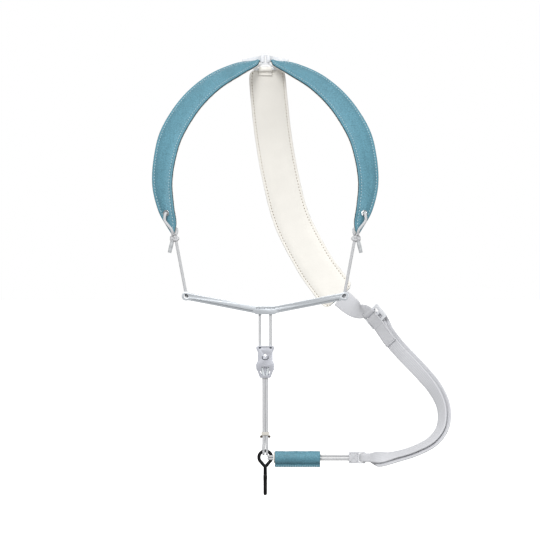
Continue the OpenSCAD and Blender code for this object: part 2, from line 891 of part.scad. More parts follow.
// The soft band between the padded strap and the buckle: x, y, z, width and tilt.
band_rows = smooth([
    [82, 13, -257.2, 21, 0],
    [93.5, 8, -266.8, 20, -6],
    [102, -0.5, -271, 17.6, -18],
    buckle_row(-bar_step - 4, wrap_mid + 1.4, strap_w + 0.8),
], 4);

// The band lies square to the buckle from here on, just short of its upper bar.
function band_station(x, lift) = [by_buckle(x - bar_step, 0, wrap_mid + lift), buckle_y, buckle_z, strap_w];

module sling_band() {
    turn = [for (a = [60:-30:-90]) turn_station(-1, a)];
    square_on = [band_station(-3, 1), band_station(-1.5, 0.3), band_station(0, 0)];
    free_rows = part_of(stations_of(band_rows), 0, len(band_rows) - 3);
    color("gainsboro") strip(concat(free_rows, square_on, turn), -fold_t / 2, fold_t / 2);
}

// The sling's route from the buckle to the tab: x, share of the depth, share of the drop, tilt.
route_keys = [
    [129.3, 0.068, 0.105, -26],
    [142, 0.11, 0.22, -20],
    [165, 0.24, 0.39, -22],
    [180, 0.35, 0.52, -40],
    [188, 0.475, 0.65, -56],
    [186.5, 0.61, 0.785, -64],
    [175, 0.72, 0.885, -68],
    [155, 0.83, 0.95, -70],
    [135, 0.92, 0.985, -66],
    [121, 0.97, 0.998, -40],
];
route_top = -280.5;
turn_end = link_x + link_w - link_bar / 2 + turn_l;
turn_mid = turn_out - strap_t / 2;
route_rows = smooth(concat(
    [buckle_row(1, -wrap_mid, strap_w), buckle_row(bar_step + 1.5, -strap_t - 0.9, strap_w)],
    [for (k = route_keys) [k[0], front_y * k[1], mix(route_top, sling_z, k[2]), strap_w, k[3]]],
    [[turn_end, front_y - turn_mid, sling_z, turn_w, 0]]), 3);
last_row = len(route_rows) - 1;
split_row = 15;
layer_gap = 1.6;
outer_side = 2.8;

function part_of(list, from, to) = [for (i = [from:to]) list[i]];

// Moves each row of a ribbon out along its normal and across its width.
function shifted(rows, out, side) = [for (i = [0:len(rows) - 1])
    let (s = station(rows, i), p = s[0] + s[2] * out + s[1] * side)
    [p[0], p[1], p[2], rows[i][3], rows[i][4]]];

// Where a layer meets the turn at the tab, in front of the tab's bar or behind it
function turn_end_station(y) = [[turn_end + lay_gap, front_y + y, sling_z], [0, 0, -1], [0, -1, 0], turn_w];

inner_stations = concat(part_of(stations_of(route_rows), 0, last_row - 1), [turn_end_station(-turn_mid)]);
outer_stations = concat(
    part_of(stations_of(shifted(route_rows, -strap_t - layer_gap, outer_side)), 0, last_row - 2),
    [turn_end_station(turn_mid)]);

module strap_piece(stations) {
    color("gainsboro") strip(stations, -strap_t / 2, strap_t / 2);
}

module sling_inner_upper() {
    strap_piece(part_of(inner_stations, 0, split_row));
}

module sling_inner_lower() {
    strap_piece(part_of(inner_stations, split_row, last_row));
}

module sling_outer_upper() {
    strap_piece(part_of(outer_stations, 0, split_row));
}

module sling_outer_lower() {
    strap_piece(part_of(outer_stations, split_row, last_row - 1));
}

// The strap's end, turned round the buckle's middle bar and sewn down on the inner layer.
fold_row = 6;
fold_rows_sewn = 2;
fold_rows = concat(
    smooth([
        buckle_row(0, wrap_mid, strap_w),
        buckle_row(bar_step + 1.5, strap_t + 0.4, strap_w),
    ], 3),
    part_of(shifted(route_rows, strap_t + lay_gap, 0), fold_row, fold_row + fold_rows_sewn));

module sling_fold() {
    turn = [for (a = [270:-30:120]) turn_station(0, a)];
    color("gainsboro") strip(concat(turn, stations_of(fold_rows)), -fold_t / 2, fold_t / 2);
}

// --- Nodes ---------------------------------------------------------------------------------

nape_link();
pad_tab();  // pad_tab_left
mirror([1, 0, 0]) pad_tab();  // pad_tab_right
pad_face();  // pad_face_left
pad_core();  // pad_core_left
pad_lining();  // pad_lining_left
pad_eyelet();  // pad_eyelet_left
pad_loop();  // pad_loop_left
pad_knot();  // pad_knot_left
cord_tail();  // cord_tail_left
drop_cord();  // drop_cord_left
mirror([1, 0, 0]) pad_face();  // pad_face_right
mirror([1, 0, 0]) pad_core();  // pad_core_right
mirror([1, 0, 0]) pad_lining();  // pad_lining_right
mirror([1, 0, 0]) pad_eyelet();  // pad_eyelet_right
mirror([1, 0, 0]) pad_loop();  // pad_loop_right
mirror([1, 0, 0]) pad_knot();  // pad_knot_right
mirror([1, 0, 0]) cord_tail();  // cord_tail_right
mirror([1, 0, 0]) drop_cord();  // drop_cord_right
spreader_bar();
bar_cord();  // bar_cord_left
mirror([1, 0, 0]) bar_cord();  // bar_cord_right
upper_cord();  // upper_cord_left
mirror([1, 0, 0]) upper_cord();  // upper_cord_right
adjuster_frame();
adjuster_cord();  // adjuster_cord_left
mirror([1, 0, 0]) adjuster_cord();  // adjuster_cord_right
adjuster_knots();
lower_cords_front();
lower_cords_back();
keeper_pin();
keeper_band();
eye_loops();
hook();
eye_hitch();
back_tab();
back_face();
back_core();
back_lining();
sling_band();
sling_buckle();
sling_fold();
sling_inner_upper();
sling_inner_lower();
sling_outer_upper();
sling_outer_lower();
sling_turn();
sling_tab();
sling_cord();
sleeve_leather();
sleeve_liner();
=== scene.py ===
"""Saxophone neck strap: builds the leather, cord, webbing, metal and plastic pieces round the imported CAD
bodies. Lengths in the tables are millimetres in the shared frame, and every mesh is made in metres."""

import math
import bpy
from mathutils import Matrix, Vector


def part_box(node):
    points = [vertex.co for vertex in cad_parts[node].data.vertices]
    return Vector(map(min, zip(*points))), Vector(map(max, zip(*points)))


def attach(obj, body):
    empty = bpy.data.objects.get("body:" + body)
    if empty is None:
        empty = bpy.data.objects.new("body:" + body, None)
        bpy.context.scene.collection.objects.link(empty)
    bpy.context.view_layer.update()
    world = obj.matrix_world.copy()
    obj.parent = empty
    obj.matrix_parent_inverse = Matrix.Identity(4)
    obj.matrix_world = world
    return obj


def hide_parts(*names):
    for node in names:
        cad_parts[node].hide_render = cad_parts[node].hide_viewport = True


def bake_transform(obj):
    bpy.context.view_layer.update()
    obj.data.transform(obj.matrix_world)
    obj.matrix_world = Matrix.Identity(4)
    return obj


bl_info = {
    "name": "Saxophone Neck Strap",
    "version": (1, 0, 0),
    "blender": (4, 5, 0),
    "location": "View3D > Sidebar > Neck Strap",
    "description": "Makes the visible pieces of a padded saxophone neck strap round its packed bodies",
    "category": "Object",
}

import bmesh
import bpy
import numpy as np
from bpy.props import FloatProperty, FloatVectorProperty, PointerProperty
from mathutils import Vector

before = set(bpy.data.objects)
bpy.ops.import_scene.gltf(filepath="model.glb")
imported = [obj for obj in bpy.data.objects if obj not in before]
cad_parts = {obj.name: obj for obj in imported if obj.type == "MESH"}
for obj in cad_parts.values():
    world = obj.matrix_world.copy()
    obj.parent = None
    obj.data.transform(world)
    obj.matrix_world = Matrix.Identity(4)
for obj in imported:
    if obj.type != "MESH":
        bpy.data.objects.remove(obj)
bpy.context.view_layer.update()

MM = 0.001
SIDES = ("left", "right")
SIGN = {"left": 1, "right": -1}
DISC_SIDES = 16
MARK_DEPTH = 0.3   # depth of the dark discs, in mm: the bar's lacquered marks and the painted shadow in the adjuster's cord holes


def linear(code):
    """An sRGB hex colour as linear RGBA."""
    parts = [int(code[i:i + 2], 16) / 255 for i in (1, 3, 5)]
    return tuple(c / 12.92 if c <= 0.04045 else ((c + 0.055) / 1.055) ** 2.4 for c in parts) + (1.0,)


def middle(node):
    low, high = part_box(node)
    return np.array((low + high) / 2) / MM


def low_of(node):
    return np.array(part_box(node)[0]) / MM


def high_of(node):
    return np.array(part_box(node)[1]) / MM


# --- Settings --------------------------------------------------------------------------------


def colour(name, description, code):
    return FloatVectorProperty(name=name, description=description, default=linear(code), size=4,
                               min=0, max=1, subtype="COLOR")


def size(name, description, value, low, high):
    return FloatProperty(name=name, description=description, default=value * MM, min=low * MM,
                         max=high * MM, subtype="DISTANCE", unit="LENGTH", precision=4)


class LeatherSettings(bpy.types.PropertyGroup):
    """Leather, lining and their stitching."""
    dye: colour("Face leather", "Colour of the dyed, pebbled face leather", "#6aa3b6")
    lining: colour("Lining", "Colour of the soft lining leather", "#f8f5ee")
    edge: colour("Edge paint", "Colour of the painted cut edges", "#2c4550")
    thread: colour("Thread", "Colour of the sewing thread on the face leather", "#cfe0e4")
    lining_thread: colour("Lining thread", "Colour of the sewing thread on the lining", "#8f8068")
    pitch: size("Stitch pitch", "Distance from one stitch to the next", 3.4, 1.5, 6)
    stitch: size("Stitch length", "Length of one stitch", 2.0, 0.8, 5)
    thread_r: size("Thread radius", "Radius of the sewing thread", 0.38, 0.1, 0.8)
    grain: size("Grain", "Width of one pebble of the leather grain", 1.25, 0.4, 3)


class CordSettings(bpy.types.PropertyGroup):
    """Braided cord and woven strap."""
    cord: colour("Cord", "Colour of the braided cord", "#d4d5d7")
    binding: colour("Binding", "Colour of the binding on the cord tails", "#c9ccce")
    strap: colour("Strap", "Colour of the soft woven strap", "#dadbdf")


class HardwareSettings(bpy.types.PropertyGroup):
    """Metal and moulded pieces."""
    bar: colour("Spreader bar", "Colour of the anodised spreader bar", "#d3d8dd")
    metal: colour("Adjuster", "Colour of the cast adjuster", "#ccced6")
    plastic: colour("Plastic", "Colour of the moulded link and buckle", "#eceef2")
    coating: colour("Hook coating", "Colour of the dipped coating on the hook", "#0b0b0c")
    rounding: size("Edge rounding", "Radius worn on the edges of the hard pieces", 0.3, 0.05, 1)


class StageSettings(bpy.types.PropertyGroup):
    """Camera and studio."""
    distance: FloatProperty(name="Camera distance", description="From the nape to the camera",
                            default=4.45, min=2, max=8, subtype="DISTANCE", unit="LENGTH")
    aim_x: size("Aim across", "Where the camera looks, across", 5.0, -100, 100)
    aim_z: size("Aim height", "Where the camera looks, up", -227.0, -400, 0)
    wide: size("Frame width", "Width of the view in the plane of the bar", 567, 300, 1200)
    paper: colour("Paper", "Colour of the studio paper", "#f7f7f7")
    ambient: FloatProperty(name="Ambient", description="Strength of the light from all round",
                           default=0.41, min=0, max=1)


# --- Curves and stations ---------------------------------------------------------------------


def unit(v):
    v = np.asarray(v, float)
    return v / np.linalg.norm(v)


def smooth(rows, steps):
    """A smooth curve through the rows, with this many steps between each two."""
    rows = np.asarray(rows, float)
    last = len(rows) - 1
    out = []
    for i in range(last):
        a, b, c, d = rows[max(i - 1, 0)], rows[i], rows[i + 1], rows[min(i + 2, last)]
        for k in range(steps):
            t = k / steps
            out.append(0.5 * (2 * b + (c - a) * t + (2 * a - 5 * b + 4 * c - d) * t * t
                              + (3 * b - a - 3 * c + d) * t ** 3))
    return np.array(out + [rows[last]])


def across(t, tilt):
    """Across a ribbon: in the front view's plane at tilt 0, and turned to the rear edge at 90."""
    side = unit([-t[2], 0, t[0]])
    w = math.cos(math.radians(tilt)) * side + np.array([0, math.sin(math.radians(tilt)), 0])
    return unit(w - (w @ t) * t)


def stations(rows):
    """[middle, across, normal, width] along rows of x, y, z, width and tilt."""
    out = []
    for i, row in enumerate(rows):
        t = unit(rows[min(i + 1, len(rows) - 1)][:3] - rows[max(i - 1, 0)][:3])
        w = across(t, row[4])
        out.append([row[:3], w, np.cross(t, w), row[3]])
    return out


def mirrored(line):
    """The same stations on the other side, still turning the same way round."""
    flip = np.array([-1, 1, 1])
    return [[p * flip, -w * flip, n * flip, width] for p, w, n, width in line]


def evenly(points, step):
    """Places along a line, this far apart: (index as a float) for each."""
    points = np.asarray(points, float)
    run = np.concatenate([[0], np.cumsum(np.linalg.norm(np.diff(points, axis=0), axis=1))])
    count = max(2, int(run[-1] / step))
    return np.interp(np.linspace(0, run[-1], count + 1), run, np.arange(len(points)))


def between(line, at):
    """A station between two of line's, at a float index."""
    i = min(int(at), len(line) - 2)
    f = at - i
    a, b = line[i], line[i + 1]
    return [a[0] * (1 - f) + b[0] * f, unit(a[1] * (1 - f) + b[1] * f),
            unit(a[2] * (1 - f) + b[2] * f), a[3] * (1 - f) + b[3] * f]


def respaced(line, step):
    return [between(line, at) for at in evenly([s[0] for s in line], step)]


def arc(centre, r, first, last, count, a, b):
    """Points round a centre: the cosine along axis a and the sine along axis b."""
    points = np.tile(np.asarray(centre, float), (count, 1))
    turn = np.linspace(first, last, count)
    points[:, a] += r * np.cos(turn)
    points[:, b] += r * np.sin(turn)
    return points


# --- Meshes ----------------------------------------------------------------------------------


def new_object(name, mesh, material=None):
    obj = bpy.data.objects.new(name, mesh)
    bpy.context.scene.collection.objects.link(obj)
    if material:
        mesh.materials.clear()
        mesh.materials.append(material)
    return obj


def outward(mesh):
    bm = bmesh.new()
    bm.from_mesh(mesh)
    bmesh.ops.recalc_face_normals(bm, faces=bm.faces)
    bm.to_mesh(mesh)
    bm.free()


def loft(name, rings, material, closed=False, cap=True):
    """A skin through rings of points in mm, with UVs in metres: round the ring, then along."""
    rings = np.asarray(rings, float) * MM
    count, around = rings.shape[:2]
    run = np.concatenate([[0], np.cumsum(np.linalg.norm(np.diff(rings.mean(axis=1), axis=0), axis=1))])
    girth = np.linalg.norm(np.diff(np.concatenate([rings, rings[:, :1]], axis=1), axis=1), axis=2)
    turn = np.concatenate([np.zeros((count, 1)), np.cumsum(girth, axis=1)], axis=1)
    turn = turn / turn[:, -1:] * turn[count // 2, -1]
    verts = [tuple(p) for ring in rings for p in ring]
    faces, uvs = [], []
    for i in range(count if closed else count - 1):
        j = (i + 1) % count
        v1 = run[i + 1] if i + 1 < count else run[i] + np.linalg.norm(rings[0, 0] - rings[-1, 0])
        for k in range(around):
            m = (k + 1) % around
            faces.append((i * around + k, i * around + m, j * around + m, j * around + k))
            uvs += [(turn[i, k], run[i]), (turn[i, k + 1], run[i]), (turn[j, k + 1], v1), (turn[j, k], v1)]
    if cap and not closed:
        for i, order in ((0, -1), (count - 1, 1)):
            verts.append(tuple(rings[i].mean(axis=0)))
            for k in range(around)[::order]:
                m = (k + order) % around
                faces.append((i * around + k, i * around + m, len(verts) - 1))
                uvs += [(turn[i, k], run[i])] * 3
    mesh = bpy.data.meshes.new(name)
    mesh.from_pydata(verts, [], faces)
    layer = mesh.uv_layers.new(name="surface")
    layer.data.foreach_set("uv", np.array(uvs, np.float32).ravel())
    mesh.shade_smooth()
    outward(mesh)
    return new_object(name, mesh, material)


def ribbon(name, line, profile, material, step=1.0, ends=0.6):
    """A strip along stations. profile(width, share along) gives the cross-section in mm."""
    line = respaced(line, step)
    rings = []
    for i, (p, w, n, width) in enumerate(line):
        section = np.asarray(profile(width, i / (len(line) - 1)), float)
        rings.append(p + section[:, :1] * w + section[:, 1:] * n)
    rings = np.array(rings)
    first, last = rings[0], rings[-1]
    t0, t1 = unit(line[0][0] - line[1][0]), unit(line[-1][0] - line[-2][0])
    c0, c1 = first.mean(axis=0), last.mean(axis=0)
    start = [c0 + (first - c0) * 0.9 + t0 * ends * 0.8, first + t0 * ends * 0.4]
    end = [last + t1 * ends * 0.4, c1 + (last - c1) * 0.9 + t1 * ends * 0.8]
    return loft(name, np.concatenate([start, rings, end]), material)


def flat_section(thick, bulge=0.0):
    """A strap's cross-section: flat faces, round edges and a slight crown."""
    def profile(width, share):
        h, t = width / 2, thick / 2
        edge = [(h - t + t * math.cos(a), t * math.sin(a)) for a in np.linspace(-math.pi / 2, math.pi / 2, 7)]
        spots = np.linspace(0.8, -0.8, 7) * (h - t)
        top = [(x, t + bulge * (1 - (x / h) ** 2)) for x in spots]
        low = [(-x, -t - bulge * (1 - (x / h) ** 2)) for x in spots]
        return edge + top + [(-x, -y) for x, y in edge] + low
    return profile


def ring(centre, u, v, r, around):
    return [centre + r * (math.cos(a) * u + math.sin(a) * v)
            for a in np.linspace(0, 2 * math.pi, around, endpoint=False)]


def tube(name, path, r, material, around=16, step=0.8, closed=False, up=(0, 1, 0), swell=None):
    """A round cord along a path in mm, its ring carried along without twist."""
    path = np.asarray(path, float)
    at = evenly(path, step)
    path = np.array([np.interp(at, np.arange(len(path)), path[:, k]) for k in range(3)]).T
    if closed:
        path = path[:-1]
    count = len(path)
    u = np.array(up, float)
    rings = []
    for i, p in enumerate(path):
        if closed:
            t = unit(path[(i + 1) % count] - path[i - 1])
            u = np.array(up, float)
        else:
            t = unit(path[min(i + 1, count - 1)] - path[max(i - 1, 0)])
            if abs(u @ t) > 0.95:
                u = np.array([1.0, 0.3, 0.1])
        u = unit(u - (u @ t) * t)
        rings.append(ring(p, u, np.cross(t, u), r * (swell(i / max(1, count - 1)) if swell else 1.0), around))
    return loft(name, rings, material, closed=closed)


def refined(node, name, finish, bevel, body, slot):
    """A CAD node's shape as one welded mesh with worn edges, on its body."""
    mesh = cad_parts[node].data.copy()
    mesh.name = name
    bm = bmesh.new()
    bm.from_mesh(mesh)
    bmesh.ops.remove_doubles(bm, verts=bm.verts, dist=2e-6)
    bmesh.ops.dissolve_limit(bm, angle_limit=math.radians(1), verts=bm.verts, edges=bm.edges)
    bm.to_mesh(mesh)
    bm.free()
    obj = new_object(name, mesh, finish_of(finish))
    rounding = obj.modifiers.new("worn edges", "BEVEL")
    rounding.width = bevel
    rounding.segments = 2
    rounding.limit_method = "ANGLE"
    rounding.angle_limit = math.radians(40)
    rounding.use_clamp_overlap = True
    apply_all(obj)
    obj.data.shade_smooth()
    obj.data.set_sharp_from_angle(angle=math.radians(38))
    return place(obj, body, slot, node)


def discs(name, places, r, material):
    """Small flat round marks facing forward, in mm."""
    verts, faces = [], []
    for x, y, z in places:
        first = len(verts)
        for depth in (0, MARK_DEPTH):
            verts += arc([x, y + depth, z], r, 0, 2 * math.pi, DISC_SIDES + 1, 0, 2)[:-1].tolist()
        front, back = first + np.arange(DISC_SIDES), first + DISC_SIDES + np.arange(DISC_SIDES)
        faces += [front.tolist(), back[::-1].tolist()]
        faces += np.stack([front, back, np.roll(back, -1), np.roll(front, -1)], axis=1).tolist()
    mesh = bpy.data.meshes.new(name)
    mesh.from_pydata([tuple(np.array(v) * MM) for v in verts], [], faces)
    outward(mesh)
    return new_object(name, mesh, material)


def apply_all(obj):
    """Turns the evaluated object into its plain mesh."""
    bpy.context.view_layer.update()
    shaped = obj.evaluated_get(bpy.context.evaluated_depsgraph_get())
    mesh = bpy.data.meshes.new_from_object(shaped)
    obj.modifiers.clear()
    obj.data = mesh
    return obj


def place(obj, body, slot, *nodes):
    """Rides the piece on its body and stands it for its CAD nodes. The slot is not used."""
    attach(obj, body)
    if nodes:
        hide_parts(*nodes)
    return obj


# --- Materials -------------------------------------------------------------------------------


def add(tree, kind, settings=None, values=None, links=None):
    """Adds one node with its settings, socket values and incoming links."""
    made = tree.nodes.new(kind)
    for name, value in (settings or {}).items():
        setattr(made, name, value)
    for socket, value in (values or {}).items():
        made.inputs[socket].default_value = value
    for socket, source in (links or {}).items():
        tree.links.new(source, made.inputs[socket])
    return made


def start_material(name, **values):
    material = bpy.data.materials.new(name)
    material.use_nodes = True
    tree = material.node_tree
    tree.nodes.clear()
    shader = add(tree, "ShaderNodeBsdfPrincipled", values=values)
    add(tree, "ShaderNodeOutputMaterial", links={"Surface": shader.outputs[0]})
    return material, tree, shader


def shade(c, k):
    return tuple(min(1.0, x * k) for x in c[:3]) + (1.0,)


def coordinates(tree, kind="Object"):
    return add(tree, "ShaderNodeTexCoord").outputs[kind]


def noise(tree, spot, scale, detail, **values):
    return add(tree, "ShaderNodeTexNoise", values={"Scale": scale, "Detail": detail, **values},
               links={"Vector": spot}).outputs[0]


def blended(tree, a, b, share, blend="MIX"):
    """Two colours mixed by a share, each of them a value or another node's output."""
    inputs = {6: a, 7: b, 0: share}
    linked = {k: v for k, v in inputs.items() if isinstance(v, bpy.types.NodeSocket)}
    fixed = {k: v for k, v in inputs.items() if k not in linked}
    return add(tree, "ShaderNodeMix", {"data_type": "RGBA", "blend_type": blend}, fixed, linked).outputs[2]


def bumped(tree, height, strength, depth_mm, invert=False, **links):
    return add(tree, "ShaderNodeBump", {"invert": invert}, {"Strength": strength, "Distance": depth_mm * MM},
               {"Height": height, **links}).outputs[0]


def ranged(tree, value, low, high):
    return add(tree, "ShaderNodeMapRange", values={"To Min": low, "To Max": high},
               links={"Value": value}).outputs[0]


def surface(started, tone, bump=None, rough=None):
    """Joins the colour, bump and roughness to a started material, and returns the material."""
    material, tree, shader = started
    for socket, source in (("Base Color", tone), ("Normal", bump), ("Roughness", rough)):
        if source is not None:
            tree.links.new(source, shader.inputs[socket])
    return material


def dyed_leather(name, dye, grain):
    """Drum-dyed full-grain leather, milled to a pebble: rounded pebbles with darker valleys."""
    started = start_material(name, **{"Roughness": 0.46, "Specular IOR Level": 0.42})
    tree = started[1]
    spot = coordinates(tree)
    cells = add(tree, "ShaderNodeTexVoronoi", {"feature": "SMOOTH_F1"},
                {"Scale": 1 / grain, "Smoothness": 0.35, "Randomness": 0.9},
                {"Vector": spot}).outputs["Distance"]
    patches = noise(tree, spot, 45, 4, Roughness=0.6)
    valleys = add(tree, "ShaderNodeValToRGB", links={"Fac": cells})
    for element, position, k in zip(valleys.color_ramp.elements, (0.15, 0.75), (1.1, 0.74)):
        element.color = shade(dye, k)
        element.position = position
    pores = bumped(tree, noise(tree, spot, 2.6 / grain, 3), 0.25, 0.12)
    return surface(started, blended(tree, valleys.outputs["Color"], patches, 0.3, "MULTIPLY"),
                   bumped(tree, cells, 0.75, 0.35, True, Normal=pores), ranged(tree, cells, 0.4, 0.62))


def lining_leather(name, base, grain=0.8):
    """Soft garment leather with a fine, shallow grain and faint handling marks."""
    started = start_material(name, **{"Roughness": 0.62, "Sheen Weight": 0.15, "Specular IOR Level": 0.35})
    tree = started[1]
    spot = coordinates(tree)
    cells = add(tree, "ShaderNodeTexVoronoi", values={"Scale": 1000 / grain}, links={"Vector": spot})
    marks = noise(tree, spot, 28, 5, Distortion=0.4)
    return surface(started, blended(tree, shade(base, 1.03), shade(base, 0.9), marks),
                   bumped(tree, cells.outputs["Distance"], 0.4, 0.1))


def woven(name, base, across_mm, along_mm, skew, strength=0.6, roughness=0.8, kind="UV"):
    """Yarn laid both ways on the piece's own surface: skewed it is a braid, square it is webbing."""
    started = start_material(name, **{"Roughness": roughness, "Sheen Weight": 0.08,
                                      "Specular IOR Level": 0.2})
    tree = started[1]
    spot = coordinates(tree, kind)
    yarns = []
    for turn, pitch in ((skew, across_mm), (-skew if skew else math.pi / 2, along_mm)):
        laid = add(tree, "ShaderNodeMapping", values={"Rotation": (0, 0, turn)}, links={"Vector": spot})
        yarns.append(add(tree, "ShaderNodeTexWave", {"wave_profile": "SIN"},
                         {"Scale": 1000 / pitch / 10 * math.pi, "Distortion": 0.3, "Detail": 1},
                         {"Vector": laid.outputs[0]}).outputs["Fac"])
    over = add(tree, "ShaderNodeMath", {"operation": "MAXIMUM"}, links=dict(enumerate(yarns))).outputs[0]
    tone = blended(tree, shade(base, 0.8), shade(base, 1.04), over)
    return surface(started, blended(tree, tone, noise(tree, spot, 900, 3), 0.12, "MULTIPLY"),
                   bumped(tree, over, strength, 0.2))


def hard_finish(name, base, metallic, roughness, speck_mm, depth_mm, tone=0.92, gloss=0.5):
    """A hard surface with the fine unevenness of its making, and duller where it is touched."""
    started = start_material(name, **{"Metallic": metallic, "Roughness": roughness,
                                      "Specular IOR Level": gloss})
    tree = started[1]
    spot = coordinates(tree)
    touched = noise(tree, spot, 110, 4)
    return surface(started, blended(tree, base, shade(base, tone), touched),
                   bumped(tree, noise(tree, spot, 1000 / speck_mm, 3), 0.3, depth_mm),
                   ranged(tree, touched, roughness * 0.8, roughness * 1.3))


def sewing_thread(name, base):
    """Waxed polyester thread: a slight gloss and a fine twist."""
    started = start_material(name, **{"Roughness": 0.5, "Specular IOR Level": 0.4})
    tree = started[1]
    twist = noise(tree, coordinates(tree), 2500, 1)
    return surface(started, blended(tree, shade(base, 0.8), shade(base, 1.05), twist))


MADE = {}


def finish_of(name):
    """The shared material of that name, made once."""
    if name in MADE:
        return MADE[name]
    s = bpy.context.scene
    leather, cord, hard = s.strap_leather, s.strap_cord, s.strap_hardware
    makers = {
        # chrome-tanned cowhide, drum dyed and milled
        "teal_pebbled_leather": (dyed_leather, leather.dye, leather.grain),
        # thin garment leather
        "cream_garment_leather": (lining_leather, leather.lining),
        # acrylic edge paint on the cut edge, smooth and a little glossy
        "acrylic_edge_paint": (hard_finish, leather.edge, 0, 0.4, 0.5, 0.03),
        "polyester_thread": (sewing_thread, leather.thread),
        "polyester_thread_tan": (sewing_thread, leather.lining_thread),
        "polyester_thread_pale": (sewing_thread, shade(cord.strap, 0.72)),
        # braided polyester cord, eight carriers: yarn about 0.9 mm wide, drawn a little coarse
        "braided_polyester": (woven, cord.cord, 0.95, 0.95, math.radians(38)),
        # thread wound round the cut end of the cord
        "whipped_thread": (woven, cord.binding, 0.7, 6, 0, 0.7),
        # soft woven strap: fine ribs across, about 0.8 mm apart
        "woven_strap": (woven, cord.strap, 1.3, 0.8, 0, 0.5, 0.86),
        # folded polyester tape
        "sewn_tape": (woven, cord.strap, 1.2, 1.0, 0, 0.5, 0.86, "Object"),
        # aluminium, anodised satin
        "anodised_aluminium": (hard_finish, hard.bar, 0.5, 0.36, 0.25, 0.02),
        # zinc alloy, die cast and tumbled bright
        "cast_zinc": (hard_finish, hard.metal, 0.4, 0.3, 0.6, 0.04),
        # black-grey lacquer in the bar's marks and on the adjuster's U; the same dark grey is also painted
        # shadow in the adjuster's two cord holes
        "dark_lacquer": (hard_finish, linear("#4a4e57"), 0, 0.5, 0.4, 0.02),
        # nickel-plated brass
        "nickel_plate": (hard_finish, linear("#d3d6d8"), 1, 0.2, 0.8, 0.01),
        # brass gone brown
        "aged_brass": (hard_finish, linear("#8d8173"), 1, 0.38, 0.5, 0.03, 0.7),
        # acetal, moulded
        "moulded_acetal": (hard_finish, hard.plastic, 0, 0.42, 0.7, 0.03, 0.96),
        # PVC dip on steel wire
        "dipped_vinyl": (hard_finish, hard.coating, 0, 0.45, 1.2, 0.05, 0.8, 0.25),
        # soft rubber
        "pale_rubber": (hard_finish, linear("#d9d5cc"), 0, 0.7, 0.4, 0.02),
    }
    maker, *values = makers[name]
    MADE[name] = maker(name, *values)
    return MADE[name]


# --- Stitching -------------------------------------------------------------------------------


def stitch_tree(name, material):
    """One short bulging thread on each point, along its 'run' and standing on its 'up'."""
    tree = bpy.data.node_groups.new(name, "GeometryNodeTree")
    for label, way, kind in (("Points", "INPUT", "Geometry"), ("Stitch length", "INPUT", "Float"),
                             ("Thread radius", "INPUT", "Float"), ("Stitches", "OUTPUT", "Geometry")):
        tree.interface.new_socket(label, in_out=way, socket_type="NodeSocket" + kind)
    given = add(tree, "NodeGroupInput")
    bead = add(tree, "GeometryNodeMeshUVSphere", values={"Segments": 6, "Rings": 5, "Radius": 0.5})
    run, up = (add(tree, "GeometryNodeInputNamedAttribute", {"data_type": "FLOAT_VECTOR"}, {"Name": label})
               for label in ("run", "up"))
    turn = add(tree, "FunctionNodeAxesToRotation", {"primary_axis": "X", "secondary_axis": "Z"},
               links={0: run.outputs[0], 1: up.outputs[0]})
    wide = add(tree, "ShaderNodeMath", {"operation": "MULTIPLY"}, {1: 2.0}, {0: given.outputs[2]})
    scale = add(tree, "ShaderNodeCombineXYZ",
                links={0: given.outputs[1], 1: wide.outputs[0], 2: wide.outputs[0]})
    laid = add(tree, "GeometryNodeInstanceOnPoints",
               links={"Points": given.outputs[0], "Instance": bead.outputs[0],
                      "Rotation": turn.outputs[0], "Scale": scale.outputs[0]})
    real = add(tree, "GeometryNodeRealizeInstances", links={0: laid.outputs[0]})
    done = add(tree, "GeometryNodeSetMaterial", values={"Material": material}, links={0: real.outputs[0]})
    add(tree, "NodeGroupOutput", links={0: done.outputs[0]})
    return tree


def stitches(name, runs, thread, body, slot, length=None, radius=None):
    """Sews along runs of (places, directions, ups), in mm, as one mesh."""
    leather = bpy.context.scene.strap_leather
    places = np.concatenate([r[0] for r in runs]) * MM
    mesh = bpy.data.meshes.new(name)
    mesh.from_pydata([tuple(p) for p in places], [], [])
    for label, i in (("run", 1), ("up", 2)):
        values = np.concatenate([r[i] for r in runs]).astype(np.float32)
        mesh.attributes.new(label, "FLOAT_VECTOR", "POINT").data.foreach_set("vector", values.ravel())
    obj = new_object(name, mesh)
    sewn = obj.modifiers.new("sewing", "NODES")
    sewn.node_group = stitch_tree(name + "_sewing", finish_of(thread))
    sockets = {s.name: s.identifier for s in sewn.node_group.interface.items_tree if s.in_out == "INPUT"}
    sewn[sockets["Stitch length"]] = length or leather.stitch
    sewn[sockets["Thread radius"]] = radius or leather.thread_r
    apply_all(obj)
    obj.data.shade_smooth()
    return place(obj, body, slot)


def seams(*measures):
    """The two seams of a ribbon, one by each edge."""
    return [seam(measures[0], side, *measures[1:]) for side in (-1, 1)]


def seam(line, side, inset, height, pitch, start=0.0, end=1.0):
    """Stitch places along a ribbon: side -1 or 1, this far in from the edge, at height(width)."""
    spots = []
    for p, w, n, width in line:
        a = side * max(width / 2 - inset, width * 0.15)
        spots.append(p + a * w + height(width, a) * n)
    spots = np.array(spots)
    at = evenly(spots, pitch / MM)
    at = at[(at >= start * (len(line) - 1)) & (at <= end * (len(line) - 1))]
    index = np.minimum(at.astype(int), len(line) - 2)
    f = (at - index)[:, None]
    runs = np.array([unit(spots[i + 1] - spots[i]) for i in index])
    ups = np.array([line[i][2] for i in index])
    return spots[index] * (1 - f) + spots[index + 1] * f, runs, ups


# --- Tables of the routes, in mm -------------------------------------------------------------

FRONT_Y = -135.0
CORD_R = 1.5
PAD_W = 29.0
BACK_W = 40.0
STRAP_W = 14.0

